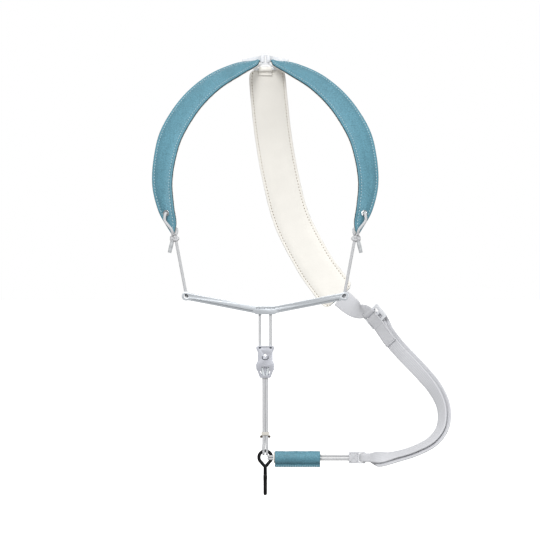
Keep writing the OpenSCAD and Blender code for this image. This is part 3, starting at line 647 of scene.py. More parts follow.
PAD_KEYS = [
    [-97, 1, -189, 0.1, 8], [-99, 0.99, -178, 0.4, 18], [-104.5, 0.97, -161, 0.65, 27],
    [-108.5, 0.9, -135.5, 0.85, 35], [-106, 0.8, -107.5, 0.94, 37], [-98.3, 0.67, -80, 0.99, 38],
    [-80, 0.49, -49.5, 1, 44], [-56.5, 0.31, -26, 0.95, 51], [-30, 0.13, -10, 0.8, 58],
    [-13.5, 0.04, -3.5, 0.55, 68], [-8, 0.02, -1, 0.34, 80],
]
PAD_LINE = stations(smooth([[k[0], FRONT_Y * k[1], k[2], k[3] * PAD_W, k[4]] for k in PAD_KEYS], 10))
EYELET = stations(smooth([[k[0], FRONT_Y * k[1], k[2], k[3] * PAD_W, k[4]] for k in PAD_KEYS], 3))[5]
KNOT = np.array([-95.6, FRONT_Y, -193.6])

BACK_KEYS = [
    [1.4, 5.5, -10, 0.8, 0], [1.9, 6.5, -16, 0.97, 0], [4, 14, -41, 1, 0], [9, 24, -84.5, 1, 0],
    [17, 28, -128.5, 1, 0], [29, 27, -173, 1, 0], [51.5, 22, -217, 1, 0], [66.5, 18, -239, 1, 0],
    [77, 14.5, -253, 0.98, 0], [80, 13.5, -256.5, 0.8, 0],
]
BACK_LINE = stations(smooth([[*k[:3], k[3] * BACK_W, k[4]] for k in BACK_KEYS], 10))

BUCKLE_AT = np.array([117.2, -4.3, -278.4])
BUCKLE_X = unit([0.62, -0.2, -0.76])
BUCKLE_TILT = -30
BUCKLE_Y = across(BUCKLE_X, BUCKLE_TILT)
BUCKLE_Z = np.cross(BUCKLE_X, BUCKLE_Y)
BAR_STEP = 7.4
MARK_STEP = 1.7
MARK_Z = -267.1
FOLD_T = 1.4
WRAP_MID = math.hypot(3, 2.4) / 2 + 0.2 + FOLD_T / 2


def by_buckle(x, y, z):
    return BUCKLE_AT + x * BUCKLE_X + y * BUCKLE_Y + z * BUCKLE_Z


def buckle_row(x, z, w):
    return [*by_buckle(x, 0, z), w, BUCKLE_TILT]


def turn_station(bar, a):
    c, s = math.cos(math.radians(a)), math.sin(math.radians(a))
    return [by_buckle(bar * BAR_STEP + WRAP_MID * c, 0, WRAP_MID * s), BUCKLE_Y,
            c * BUCKLE_X + s * BUCKLE_Z, STRAP_W]


ROUTE_KEYS = [
    [129.3, 0.068, 0.105, -26], [142, 0.11, 0.22, -20], [165, 0.24, 0.39, -22],
    [180, 0.35, 0.52, -40], [188, 0.475, 0.65, -56], [186.5, 0.61, 0.785, -64],
    [175, 0.72, 0.885, -68], [155, 0.83, 0.95, -70], [135, 0.92, 0.985, -66], [121, 0.97, 0.998, -40],
]
SLING_Z = middle("sling_tab")[2]
ROUTE_TOP = -280.5
TURN_MID = 4.0
TURN_W = 8.8
BAR_X = high_of("sling_tab")[0] - 1.3
TURN_END = BAR_X + 5


def route(steps):
    rows = [buckle_row(1, -WRAP_MID, STRAP_W), buckle_row(BAR_STEP + 1.5, -2.9, STRAP_W)]
    rows += [[k[0], FRONT_Y * k[1], ROUTE_TOP + (SLING_Z - ROUTE_TOP) * k[2], STRAP_W, k[3]]
             for k in ROUTE_KEYS]
    rows += [[TURN_END, FRONT_Y - TURN_MID, SLING_Z, TURN_W, 0]]
    return smooth(rows, steps)


def shifted(rows, out, side):
    """The rows moved out along their normals and across their width."""
    moved = []
    for row, (p, w, n, width) in zip(rows, stations(rows)):
        moved.append([*(p + n * out + w * side), row[3], row[4]])
    return np.array(moved)


def turn_end_station(y):
    return [np.array([TURN_END + 0.1, FRONT_Y + y, SLING_Z]), np.array([0, 0, -1.0]),
            np.array([0, -1.0, 0]), TURN_W]


# --- Cords -----------------------------------------------------------------------------------


def knot_path():
    """An overhand knot, drawn up tight."""
    path = []
    for a in np.linspace(0, 2 * math.pi, 49):
        k = 2 + math.cos(3 * a)
        path.append(KNOT + np.array([k * math.cos(2 * a) * 1.35, math.sin(3 * a) * 1.4,
                                     k * math.sin(2 * a) * 0.8 - 0.4]))
    return np.array(path)


def flipped(path, side):
    return np.asarray(path, float) * np.array([SIGN[side], 1, 1])


def by_eyelet(out, down, side):
    return EYELET[0] + EYELET[2] * out + np.array([side, 0, -down])


def along(a, b, count=24):
    return np.array([np.asarray(a) * (1 - t) + np.asarray(b) * t for t in np.linspace(0, 1, count)])


def carried(name, path, node=None, step=0.8):
    """A cord pulled straight along its path, standing in for its CAD node; it is baked in place and rides on
    no body.
    """
    cord = tube(name, path, CORD_R, finish_of("braided_polyester"), step=step)
    if node:
        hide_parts(node)
    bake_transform(cord)


def tail_swell(t):
    """A bound tail is fuller in its middle, and shows the turns of its thread."""
    return 0.86 + 0.12 * math.sin(math.pi * min(1, max(0, t * 1.1))) + 0.02 * math.cos(t * 95)


class STRAP_OT_cords(bpy.types.Operator):
    """Makes the braided cords: drops, bar cords, adjuster cords, loops, knots and tails."""
    bl_idname = "strap.cords"
    bl_label = "Cords"

    def execute(self, context):
        braid = finish_of("braided_polyester")
        loop_out = 2.6 + 0.45 + 0.5 + 1.5 + 0.1
        loop_keys = [
            KNOT + [-1.4, -3, 3.2], KNOT + [-2.8, -5.2, 9], by_eyelet(loop_out + 1.9, 8.5, 0.6),
            by_eyelet(loop_out + 1.1, 3.5, 0), by_eyelet(loop_out - 0.3, 0.6, 0), by_eyelet(2.6, 0, 0),
            by_eyelet(-2.6, 0, 0), by_eyelet(0.3 - loop_out, 0.6, 0), by_eyelet(-0.8 - loop_out, 4, 0.8),
            by_eyelet(-0.6 - loop_out, 12, 2.6), KNOT + [2.6, 4.4, 9], KNOT + [1.6, 1.8, 3.2],
        ]
        for side in SIDES:
            pad = side + "_pad"
            loop = tube("pad_cord_loop_" + side, flipped(smooth(loop_keys, 8), side), CORD_R, braid,
                        up=(1, 0, 0))
            place(loop, pad, "braided_cord", "pad_loop_" + side)
            knot = tube("overhand_knot_" + side, flipped(knot_path(), side), CORD_R * 0.98, braid,
                        step=0.5, closed=True, up=(0.1, 1, 0.2))
            place(knot, pad, "braided_cord", "pad_knot_" + side)
            start = KNOT + [-2.4, -0.6, -4.6]
            lean = unit([-0.23, 0, -0.97])
            whipping = flipped(along(start - lean * 1.5, start + lean * 11), side)
            tail = tube("bound_tail_" + side, whipping, 2.1, finish_of("whipped_thread"),
                        around=20, step=0.35, swell=tail_swell)
            place(tail, pad, "cord_binding", "cord_tail_" + side)
            top = KNOT + [1.9, 0, -2.6]
            low = np.array([-83.6, -130.4, -250.2])
            carried("drop_cord_braid_" + side, flipped(along(top, low), side),
                    "drop_cord_" + side)
            bar = np.array([[-83.6, -130.4, -250.3], [-83.3, -130.45, -252.5], [-83, -132, -254.2],
                            [-82, -134, -254.6]])
            turn = tube("ring_cord_" + side, flipped(smooth(bar, 8), side), CORD_R, braid, up=(1, 0, 0))
            place(turn, "back", "braided_cord", "bar_cord_" + side)
            upper = flipped(along([-5.6, -134.5, -272.9], [-5.6, -135, -308.2]), side)
            carried("upper_cord_braid_" + side, upper, "upper_cord_" + side)
        return {"FINISHED"}


class STRAP_OT_lower_cords(bpy.types.Operator):
    """Makes the four strands under the adjuster and their turns round the hook's eye."""
    bl_idname = "strap.lower_cords"
    bl_label = "Lower cords"

    def execute(self, context):
        braid = finish_of("braided_polyester")
        adj_low = low_of("adjuster_frame")[2]
        eye_top = high_of("hook")[2] - 1.75
        keeper_z = middle("keeper_pin")[2]
        for row, out, name in ((-1, 1.4, "front"), (1, -1.9, "back")):
            y_top = FRONT_Y - out
            y_keep = FRONT_Y + row * 2.4
            y_eye = FRONT_Y + row * 3.25
            for x, side in ((-1.8, "left"), (1.8, "right")):
                near = x * 0.84
                path = smooth([[x, y_top, adj_low + 3.4], [near, y_top, adj_low - 5],
                               [near, y_keep, keeper_z + 25], [near, y_keep, keeper_z - 3],
                               [x, y_eye, eye_top + 5], [x, y_eye, eye_top + 0.9]], 8)
                carried(f"lower_cord_{name}_{side}", path,
                        "lower_cords_" + name if side == "left" else None, step=1)
        for x, side in ((-1.8, "left"), (1.8, "right")):
            arc = [[x, FRONT_Y + 3.25 * math.cos(a), eye_top - 0.35 - 3.25 * math.sin(a)]
                   for a in np.linspace(0, math.pi, 25)]
            path = [[x, FRONT_Y + 3.25, eye_top + 1.4], *arc, [x, FRONT_Y - 3.25, eye_top + 1.4]]
            loop = tube("eye_turn_" + side, path, 1.2, braid, step=0.4, up=(1, 0, 0))
            place(loop, "hook_carrier", "braided_cord", *(["eye_loops"] if side == "left" else []))
        return {"FINISHED"}


class STRAP_OT_sling_cords(bpy.types.Operator):
    """Makes the sling's two cords and the hitch round the hook's eye."""
    bl_idname = "strap.sling_cords"
    bl_label = "Sling cords"

    def execute(self, context):
        braid = finish_of("braided_polyester")
        left, right = low_of("sling_cord")[0], high_of("sling_cord")[0] - CORD_R - 1.7
        for z, name in ((1.7, "top"), (-1.7, "low")):
            path = along([left, FRONT_Y, SLING_Z + z], [right, FRONT_Y, SLING_Z + z], 40)
            cord = tube("sling_cord_" + name, path, CORD_R, braid, step=1, up=(0, 1, 0))
            place(cord, "sling_end", "braided_cord", *(["sling_cord"] if name == "top" else []))
        bend = [[right + 1.7 * math.sin(a), FRONT_Y, SLING_Z + 1.7 * math.cos(a)]
                for a in np.linspace(0, math.pi, 17)]
        place(tube("sling_cord_bight", bend, CORD_R, braid, step=0.4), "sling_end", "braided_cord")
        hitch_x = 6.35
        end = 8.5
        for z, name in ((1.3, "top"), (-1.3, "low")):
            arc = [[hitch_x + 3.05 * math.cos(a), FRONT_Y + 3.05 * math.sin(a), SLING_Z + z]
                   for a in np.linspace(math.pi / 2, 3 * math.pi / 2, 25)]
            path = [[end, FRONT_Y + 3.05, SLING_Z + z], *arc, [end, FRONT_Y - 3.05, SLING_Z + z]]
            wrap = tube("eye_hitch_" + name, path, 1.2, braid, step=0.4, up=(0, 0, 1))
            place(wrap, "hook", "braided_cord", *(["eye_hitch"] if name == "top" else []))
        return {"FINISHED"}


# --- Neck pads and back strap ----------------------------------------------------------------


def closed_section(h, right, inset, edge_z, flat_z):
    """A section from its right half, mirrored and closed along its flat side."""
    left = [(-a, b) for a, b in right[::-1]][1:]
    return ([(h - inset, edge_z)] + right + left
            + [(-h + inset, edge_z), (-h / 2, flat_z), (0, flat_z), (h / 2, flat_z)])


def toward_middle(near, h, count):
    """Distances in from the edge: these near it, then even ones to the middle."""
    return np.concatenate([near, np.linspace(near[-1], h, count)[1:]])


def pad_crown(width, a):
    """Height of the face above the pad's middle: flat by the edge, a dip at the seam, then full."""
    h = width / 2
    d = h - abs(a)
    k = min(1.0, h / 9)
    rise = min(1.0, max(0.0, (d - 2.6 * k) / (6.5 * k)))
    rise = rise * rise * (3 - 2 * rise)
    dip = 0.35 * k * math.exp(-((d - 3.0 * k) / (0.7 * k)) ** 2)
    round_off = 0.75 * k * max(0.0, 1 - d / (0.9 * k)) ** 2
    return 1.25 + 1.3 * k * rise - dip - round_off


def face_section(width, share):
    h = width / 2
    k = min(1.0, h / 9)
    d = toward_middle(np.array([0.02, 0.25, 0.6, 1.2, 2.0, 2.5, 3.0, 3.5, 4.2, 5.4, 7.0]) * k, h, 5)
    puff = 1 + 0.03 * math.sin(share * 61) + 0.02 * math.sin(share * 143 + 1)
    right = [(h - x, pad_crown(width, h - x) * (puff if x > 4 * k else 1)) for x in d]
    return closed_section(h, right, 0.05, -0.35, -0.4)


def edge_section(side):
    def profile(width, share):
        h = width / 2 * side
        k = min(1.0, width / 18) * side
        return [(h + 0.22 * k, 0.35), (h + 0.3 * k, -0.3), (h + 0.22 * k, -1.0),
                (h - 0.8 * k, -1.05), (h - 0.9 * k, -0.3), (h - 0.8 * k, 0.4)]
    return profile


def pad_lining_section(width, share):
    h = width / 2 + 0.5 * min(1.0, width / 18)
    k = min(1.0, h / 9)
    right = []
    for x in toward_middle(np.array([0.0, 0.3, 0.9, 1.8, 2.6, 3.1, 3.7, 4.6, 6.0]) * k, h, 5):
        rise = min(1.0, max(0.0, (x - 2.6 * k) / (5 * k)))
        dip = 0.25 * k * math.exp(-((x - 3.1 * k) / (0.7 * k)) ** 2)
        round_off = 0.5 * k * max(0.0, 1 - x / (0.9 * k)) ** 2
        right.append((h - x, -1.75 - 0.8 * k * rise + dip + round_off))
    return closed_section(h, right, 0.05, -0.95, -0.9)


class STRAP_OT_neck_pads(bpy.types.Operator):
    """Makes the two padded neck pads: pebbled face, painted edges, lining, stitching and eyelets."""
    bl_idname = "strap.neck_pads"
    bl_label = "Neck pads"

    def execute(self, context):
        leather = context.scene.strap_leather
        for side in SIDES:
            body = side + "_pad"
            line = PAD_LINE if side == "left" else mirrored(PAD_LINE)
            face = ribbon("pad_leather_" + side, line, face_section, finish_of("teal_pebbled_leather"), 0.9)
            place(face, body, "face_leather", "pad_face_" + side, "pad_core_" + side)
            for which, name in ((-1, "a"), (1, "b")):
                edge = ribbon(f"pad_edge_{name}_{side}", line, edge_section(which),
                              finish_of("acrylic_edge_paint"), 0.9, 0.2)
                place(edge, body, "face_leather")
            lining = ribbon("pad_lining_skin_" + side, line, pad_lining_section,
                            finish_of("cream_garment_leather"), 0.9, 0.3)
            place(lining, body, "lining_leather", "pad_lining_" + side)
            runs = seams(line, 3.0, pad_crown, leather.pitch, 0.02, 0.985)
            stitches("pad_stitches_" + side, runs, "polyester_thread", body, "face_leather")
            behind = seams(line, 3.1, lambda w, a: -1.62, leather.pitch, 0.02, 0.985)
            stitches("pad_back_stitches_" + side, behind, "polyester_thread_tan", body,
                     "lining_leather")
            refined("pad_eyelet_" + side, "eyelet_ring_" + side, "nickel_plate", 0.15 * MM,
                    body, "eyelet_metal")
            refined("pad_tab_" + side, "pad_end_tab_" + side, "moulded_acetal", 0.25 * MM,
                    body, "tab_leather")
        return {"FINISHED"}


def back_height(width, a, puff=1.0):
    """Height of the back strap's soft front above its middle."""
    d = width / 2 - abs(a)
    rise = min(1.0, max(0.0, (d - 2.4) / 6.0))
    rise = rise * rise * (3 - 2 * rise)
    channel = 0.4 * math.exp(-((d - 2.4) / 0.7) ** 2)
    return 1.0 + 1.4 * rise * puff - channel - 0.7 * max(0.0, 1 - d / 1.0) ** 2


def back_front(width, share):
    """The back strap's soft front: rolled edges, a seam channel and a padded middle."""
    h = width / 2
    puff = 1 + 0.04 * math.sin(share * 47) + 0.03 * math.sin(share * 113 + 2)
    right = [(h - x, back_height(width, h - x, puff))
             for x in toward_middle([0.0, 0.3, 0.9, 1.7, 2.2, 2.6, 3.1, 4.0, 5.5], h, 6)]
    return closed_section(h, right, 0.1, -0.2, -0.3)


def back_rear(width, share):
    h = width / 2 - 0.1
    right = []
    for x in toward_middle([0.0, 0.4, 1.2, 2.4, 3.2, 5.0], h, 6):
        rise = min(1.0, max(0.0, (x - 2.4) / 6.0))
        right.append((h - x, -1.5 - 1.3 * rise + 0.3 * math.exp(-((x - 2.4) / 0.7) ** 2)
                      + 0.6 * max(0.0, 1 - x / 1.0) ** 2))
    return closed_section(h, right, 0.1, -0.25, -0.2)


class STRAP_OT_back_strap(bpy.types.Operator):
    """Makes the padded back strap, its stitching and the tab at the nape."""
    bl_idname = "strap.back_strap"
    bl_label = "Back strap"

    def execute(self, context):
        leather = context.scene.strap_leather
        front = ribbon("back_strap_lining", BACK_LINE, back_front, finish_of("cream_garment_leather"), 1.1)
        place(front, "back", "back_leather", "back_lining", "back_core")
        rear = ribbon("back_strap_leather", BACK_LINE, back_rear, finish_of("teal_pebbled_leather"), 1.1)
        place(rear, "back", "back_leather", "back_face")
        runs = seams(BACK_LINE, 2.9, back_height, leather.pitch)
        stitches("back_strap_stitches", runs, "polyester_thread_tan", "back", "back_leather")
        behind = seams(BACK_LINE, 2.4, lambda w, a: -1.3, leather.pitch)
        stitches("back_strap_rear_stitches", behind, "polyester_thread", "back", "back_leather")
        refined("back_tab", "nape_fold_tab", "cream_garment_leather", 0.2 * MM, "back", "tab_leather")
        return {"FINISHED"}


# --- Sling -----------------------------------------------------------------------------------


class STRAP_OT_sling(bpy.types.Operator):
    """Makes the doubled woven strap, its fold at the buckle, the band above and the sewn link tab."""
    bl_idname = "strap.sling"
    bl_label = "Sling strap"

    def execute(self, context):
        cord = context.scene.strap_cord
        weave = finish_of("woven_strap")
        rows = route(10)
        inner = stations(rows)[:-1] + [turn_end_station(-TURN_MID)]
        turn = [[np.array([BAR_X + TURN_MID * math.cos(a), FRONT_Y + TURN_MID * math.sin(a), SLING_Z]),
                 np.array([0, 0, -1.0]), np.array([math.cos(a), math.sin(a), 0]), TURN_W]
                for a in np.linspace(-math.pi / 2, -3 * math.pi / 2, 19)]
        outer = stations(shifted(rows, -3.6, 2.8))[:-8] + [turn_end_station(TURN_MID)]
        back_again = [[p, w, -n, width] for p, w, n, width in outer[::-1]]
        strap = ribbon("sling_strap", inner + turn + back_again, flat_section(2.0, 0.12), weave, 1.0)
        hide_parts("sling_inner_upper", "sling_inner_lower", "sling_outer_upper",
                    "sling_outer_lower", "sling_turn")
        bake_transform(strap)
        fold_rows = list(smooth([buckle_row(0, WRAP_MID, STRAP_W),
                                 buckle_row(BAR_STEP + 1.5, 2.4, STRAP_W)], 3))
        fold_rows += list(shifted(route(3), 2.1, 0)[6:9])
        fold_line = [turn_station(0, a) for a in range(270, 119, -10)] + stations(smooth(fold_rows, 4))
        fold = ribbon("sling_fold_end", fold_line, flat_section(FOLD_T, 0.1), weave, 0.8)
        place(fold, "back", "strap_webbing", "sling_fold")
        tail = fold_line[-28:]
        runs = seams(tail, 1.2, lambda w, a: FOLD_T / 2 + 0.12, 2.2 * MM)
        for back_off in (2, 12):
            p, w, n, width = tail[-back_off]
            places = np.array([p + n * (FOLD_T / 2 + 0.15) + w * x for x in np.linspace(-5.6, 5.6, 6)])
            runs.append((places, np.array([w] * 6), np.array([n] * 6)))
        stitches("sling_fold_stitches", runs, "polyester_thread_pale", "back", "strap_webbing",
                 1.6 * MM, 0.26 * MM)
        band_rows = smooth([
            [82, 13, -257.2, 21, 0], [93.5, 8, -266.8, 20, -6], [102, -0.5, -271, 17.6, -18],
            buckle_row(-BAR_STEP - 4, WRAP_MID + 1.4, STRAP_W + 0.8)], 8)
        square = [[by_buckle(x - BAR_STEP, 0, WRAP_MID + lift), BUCKLE_Y, BUCKLE_Z, STRAP_W]
                  for x, lift in ((-3, 1), (-1.5, 0.3), (0, 0))]
        band_line = stations(band_rows)[:-2] + square + [turn_station(-1, a) for a in range(80, -91, -10)]
        band = ribbon("sling_soft_band", band_line, flat_section(FOLD_T, 0.5), weave, 0.8)
        place(band, "back", "strap_webbing", "sling_band")
        refined("sling_buckle", "ladder_buckle", "moulded_acetal", 0.45 * MM, "back", "buckle_plastic")
        refined("sling_tab", "link_tab", "sewn_tape", 0.6 * MM, "sling_end", "tab_leather")
        low, high = low_of("sling_tab"), high_of("sling_tab")
        x0, x1, z0, z1 = low[0] + 1.2, low[0] + 9.2, low[2] + 1.5, high[2] - 1.5
        corners = [(x0, z0), (x1, z0), (x1, z1), (x0, z1), (x0, z0), (x1, z1), (x1, z0), (x0, z1)]
        runs = []
        for y, up in ((low[1] - 0.1, -1.0), (high[1] + 0.1, 1.0)):
            for a, b in zip(corners, corners[1:]):
                count = max(3, int(math.dist(a, b) / 1.9))
                ts = (np.arange(count) + 0.5) / count
                places = np.array([[a[0] + (b[0] - a[0]) * t, y, a[1] + (b[1] - a[1]) * t] for t in ts])
                runs.append((places, np.array([unit([b[0] - a[0], 0, b[1] - a[1]])] * count),
                             np.array([[0, up, 0]] * count)))
        stitches("link_tab_stitches", runs, "polyester_thread_pale", "sling_end", "tab_leather",
                 1.5 * MM, 0.27 * MM)
        return {"FINISHED"}


class STRAP_OT_sleeve(bpy.types.Operator):
    """Makes the leather sleeve with its sewn flap, and its liner."""
    bl_idname = "strap.sleeve"
    bl_label = "Sleeve"

    def execute(self, context):
        low, high = low_of("sleeve_leather"), high_of("sleeve_leather")
        axis = np.array([0, FRONT_Y, SLING_Z])
        outer, wall = 6.85, 5.55
        flap, flap_t = low[2] - SLING_Z, 1.3
        section = []
        gap = math.asin(flap_t / outer)
        for a in np.linspace(-math.pi / 2 + gap, 3 * math.pi / 2 - gap, 40):
            section.append((outer * math.cos(a), outer * math.sin(a)))
        section += [(-flap_t, -outer - 0.7), (-flap_t, flap + 0.3), (-flap_t + 0.35, flap),
                    (flap_t - 0.35, flap), (flap_t, flap + 0.3), (flap_t, -outer - 0.7)]
        hole = [(wall * math.cos(a), wall * math.sin(a))
                for a in np.linspace(-math.pi / 2, 3 * math.pi / 2, 46)]
        rings = []
        count = 50
        for i in range(count + 1):
            t = i / count
            x = low[0] + (high[0] - low[0]) * t
            lip = 0.12 * max(0, 1 - min(t, 1 - t) * 60)
            puff = 1 + 0.012 * math.sin(t * 17) + 0.01 * math.sin(t * 41 + 1)
            rings.append([axis + [x, a * puff * (1 - lip / 7), b * (puff if b > 0 else 1) * (1 - lip / 9)]
                          for a, b in section])
        inside = [[axis + [low[0] + (high[0] - low[0]) * t, a, b] for a, b in hole]
                  for t in np.linspace(1, 0, 8)]
        skin = loft("sling_sleeve", np.array(rings + inside), finish_of("teal_pebbled_leather"), closed=True)
        place(skin, "sleeve", "sleeve_leather", "sleeve_leather")
        xs = np.arange(low[0] + 1.6, high[0] - 1, 2.5)
        runs = []
        for y in (-1, 1):
            places = np.array([[x, FRONT_Y + y * (flap_t + 0.12), SLING_Z + flap + 1.1] for x in xs])
            runs.append((places, np.array([[1.0, 0, 0]] * len(xs)), np.array([[0, float(y), 0]] * len(xs))))
        stitches("sleeve_stitches", runs, "polyester_thread", "sleeve", "sleeve_leather",
                 1.9 * MM, 0.34 * MM)
        refined("sleeve_liner", "sleeve_tube", "pale_rubber", 0.2 * MM, "sleeve", "lining_leather")
        return {"FINISHED"}


# --- Hardware --------------------------------------------------------------------------------


class STRAP_OT_hardware(bpy.types.Operator):
    """Makes the nape link, spreader bar, adjuster, keeper and their worn edges."""
    bl_idname = "strap.hardware"
    bl_label = "Hardware"

    def execute(self, context):
        edge = context.scene.strap_hardware.rounding
        refined("nape_link", "nape_wire_link", "moulded_acetal", edge, "back", "link_plastic")
        refined("spreader_bar", "spreader_bar_body", "anodised_aluminium", edge, "back", "anodised_bar")
        front = low_of("spreader_bar")[1]
        marks = [[MARK_STEP * (i - 5.5), front + 0.3, MARK_Z] for i in range(12)]
        place(discs("bar_marks", marks, 0.46, finish_of("dark_lacquer")), "back", "anodised_bar")
        refined("adjuster_frame", "adjuster_body", "cast_zinc", edge * 0.8, "adjuster", "cast_metal")
        front = low_of("adjuster_frame")[1]
        top = high_of("adjuster_frame")[2]
        # Painted shadow: two dark discs on the adjuster's front, where its cord holes lie in shade.
        cord_hole_shadows = [[x, front + 0.15, top - 1.9] for x in (-5.6, 5.6)]
        place(discs("adjuster_hole_shadow_discs", cord_hole_shadows, 1.15, finish_of("dark_lacquer")), "adjuster", "cast_metal")
        bend = [[3.0 * math.cos(a), front - 0.05, top - 12.9 + 1.4 * math.sin(a)]
                for a in np.linspace(math.pi, 2 * math.pi, 13)]
        clip = [[-3.0, front - 0.05, top - 10.9], *bend, [3.0, front - 0.05, top - 10.9]]
        place(tube("adjuster_bail", clip, 0.42, finish_of("dark_lacquer"), 10, 0.4), "adjuster", "cast_metal")
        refined("keeper_pin", "keeper_cross_pin", "aged_brass", 0.05 * MM, "keeper", "keeper_metal")
        refined("keeper_band", "keeper_sleeve_band", "pale_rubber", 0.15 * MM, "keeper", "keeper_sleeve")
        return {"FINISHED"}


def hook_swell(t):
    """The dipped coating is thicker toward the hook's tip."""
    return (0.92 + 0.08 * min(1, t * 4)) * (1 + 0.08 * min(1, max(0, (t - 0.9) / 0.07)))


class STRAP_OT_hook(bpy.types.Operator):
    """Makes the dipped wire hook: a teardrop eye, a shank and the open bow."""
    bl_idname = "strap.hook"
    bl_label = "Hook"

    def execute(self, context):
        vinyl = finish_of("dipped_vinyl")
        eye_z, eye_r, wire = -423.6, 6.65, 1.75
        foot = eye_z - 1.3 * eye_r
        lean = math.acos(eye_r / (eye_z - foot))
        start, stop = -math.pi / 2 + lean, 3 * math.pi / 2 - lean
        eye = arc([0, FRONT_Y, eye_z], eye_r, start, stop, 40, 0, 2).tolist()
        eye = [[0.9, FRONT_Y, foot - 0.6], *eye, [-0.9, FRONT_Y, foot - 0.6]]
        place(tube("hook_eye", eye, wire, vinyl, around=20, step=0.5), "hook", "coated_wire", "hook")
        bow_r, bow_z = 5.65, -456.0
        shank = [[0, FRONT_Y, foot + 1.2], [0, FRONT_Y, foot - 2.5], [0, FRONT_Y + 1.1, foot - 5.5],
                 [0, FRONT_Y + 3.2, -443.5], [0, FRONT_Y + 5.0, -447.2], [0, FRONT_Y + bow_r, -450.5]]
        curve = arc([0, FRONT_Y, bow_z], bow_r, 0, -math.pi, 15, 1, 2).tolist()
        tip = [[0, FRONT_Y - bow_r, -452], [0, FRONT_Y - bow_r - 0.2, -448.5],
               [0, FRONT_Y - bow_r - 0.9, -445.5], [0, FRONT_Y - bow_r - 1.6, -443]]
        path = smooth(shank + curve + tip, 5)
        bow = tube("hook_bow", path, 1.95, vinyl, around=22, step=0.6, up=(1, 0, 0), swell=hook_swell)
        place(bow, "hook", "coated_wire")
        end = np.array(path[-1])
        bead = []
        t = unit(np.array(path[-1]) - np.array(path[-2]))
        u = np.array([1.0, 0, 0])
        v = np.cross(t, u)
        for a in np.linspace(0.1, math.pi - 0.1, 9):
            bead.append(ring(end + t * (-math.cos(a) * 2.1), u, v, 2.15 * math.sin(a), 20))
        place(loft("hook_tip", bead, vinyl), "hook", "coated_wire")
        return {"FINISHED"}


# --- Stage -----------------------------------------------------------------------------------


# name, place, width and power of each light, in metres and watts; all are turned to one spot
LIGHTS = (("key", (-0.6, -2.3, 1.2), 1.0, 42), ("fill", (1.6, -2.2, 0.1), 1.6, 18),
          ("top", (0.1, -0.2, 1.9), 1.2, 9), ("rear", (-0.4, 1.9, 0.9), 1.2, 6))
LIGHT_AIM = (0.02, -0.06, -0.22)
SENSOR = 36         # width of the camera's sensor, in mm
FLOOR_Z = -0.56     # height of the paper, in metres
FLOOR_REACH = 40


def area_light(name, where, wide, power):
    data = bpy.data.lights.new(name, "AREA")
    data.shape = "DISK"
    data.size = wide
    data.energy = power
    obj = bpy.data.objects.new(name, data)
    bpy.context.scene.collection.objects.link(obj)
    obj.location = where
    obj.rotation_euler = (Vector(LIGHT_AIM) - Vector(where)).to_track_quat("-Z", "Y").to_euler()


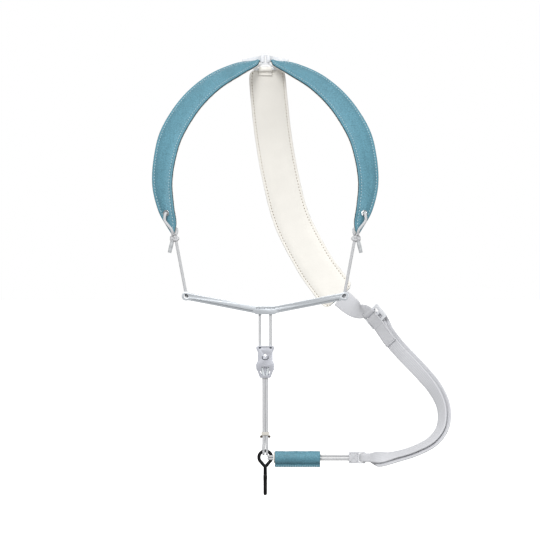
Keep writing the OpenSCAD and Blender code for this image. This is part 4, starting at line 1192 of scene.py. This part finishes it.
class STRAP_OT_stage(bpy.types.Operator):
    """Makes the camera, the studio lights and the pale floor under the strap."""
    bl_idname = "strap.stage"
    bl_label = "Stage"

    def execute(self, context):
        stage = context.scene.strap_stage
        camera = bpy.data.cameras.new("camera")
        camera.sensor_width = SENSOR
        camera.lens = SENSOR * (stage.distance + FRONT_Y * MM) / stage.wide
        camera.clip_end = 50
        holder = bpy.data.objects.new("camera", camera)
        context.scene.collection.objects.link(holder)
        holder.location = (stage.aim_x, -stage.distance, stage.aim_z)
        holder.rotation_euler = (math.pi / 2, 0, 0)
        context.scene.camera = holder
        context.scene.view_settings.view_transform = "Standard"
        mesh = bpy.data.meshes.new("studio_floor")
        corners = [(x * FLOOR_REACH, y * FLOOR_REACH, FLOOR_Z)
                   for x, y in ((-1, -1), (1, -1), (1, 1), (-1, 1))]
        mesh.from_pydata(corners, [], [(0, 1, 2, 3)])
        material = start_material("matt_studio_paper", **{
            "Base Color": stage.paper, "Roughness": 0.9, "Emission Color": (1, 1, 1, 1),
            "Emission Strength": 1.0})[0]
        paper = new_object("studio_floor", mesh, material)
        paper.visible_diffuse = False
        paper.visible_glossy = False
        world = bpy.data.worlds.new("studio")
        context.scene.world = world
        world.use_nodes = True
        background = world.node_tree.nodes["Background"]
        background.inputs["Color"].default_value = (1, 1, 1, 1)
        # The paper all round is white, and what it throws back on the strap is soft and dimmer.
        seen = add(world.node_tree, "ShaderNodeLightPath").outputs["Is Camera Ray"]
        strength = add(world.node_tree, "ShaderNodeMath", {"operation": "MULTIPLY_ADD"},
                       {1: 1 - stage.ambient, 2: stage.ambient}, {0: seen})
        world.node_tree.links.new(strength.outputs[0], background.inputs["Strength"])
        for light in LIGHTS:
            area_light(*light)
        return {"FINISHED"}


# --- Panel and registration ------------------------------------------------------------------

OPERATORS = (STRAP_OT_stage, STRAP_OT_cords, STRAP_OT_lower_cords, STRAP_OT_sling_cords, STRAP_OT_neck_pads,
             STRAP_OT_back_strap, STRAP_OT_sling, STRAP_OT_sleeve, STRAP_OT_hardware, STRAP_OT_hook)


class STRAP_PT_panel(bpy.types.Panel):
    """Lists the pieces and their settings."""
    bl_idname = "STRAP_PT_panel"
    bl_label = "Neck Strap"
    bl_space_type = "VIEW_3D"
    bl_region_type = "UI"
    bl_category = "Neck Strap"

    def draw(self, context):
        for operator in OPERATORS:
            self.layout.operator(operator.bl_idname)
        for group in SETTINGS:
            box = self.layout.box()
            for name in group[1].__annotations__:
                box.prop(getattr(context.scene, group[0]), name)


SETTINGS = (("strap_leather", LeatherSettings), ("strap_cord", CordSettings),
            ("strap_hardware", HardwareSettings), ("strap_stage", StageSettings))


def register():
    for name, group in SETTINGS:
        bpy.utils.register_class(group)
        setattr(bpy.types.Scene, name, PointerProperty(type=group))
    for operator in OPERATORS:
        bpy.utils.register_class(operator)
    bpy.utils.register_class(STRAP_PT_panel)


def unregister():
    bpy.utils.unregister_class(STRAP_PT_panel)
    for operator in reversed(OPERATORS):
        bpy.utils.unregister_class(operator)
    for name, group in reversed(SETTINGS):
        delattr(bpy.types.Scene, name)
        bpy.utils.unregister_class(group)


def main():
    register()
    for operator in OPERATORS:
        group, name = operator.bl_idname.split(".")
        getattr(getattr(bpy.ops, group), name)()


if __name__ == "__main__":
    main()
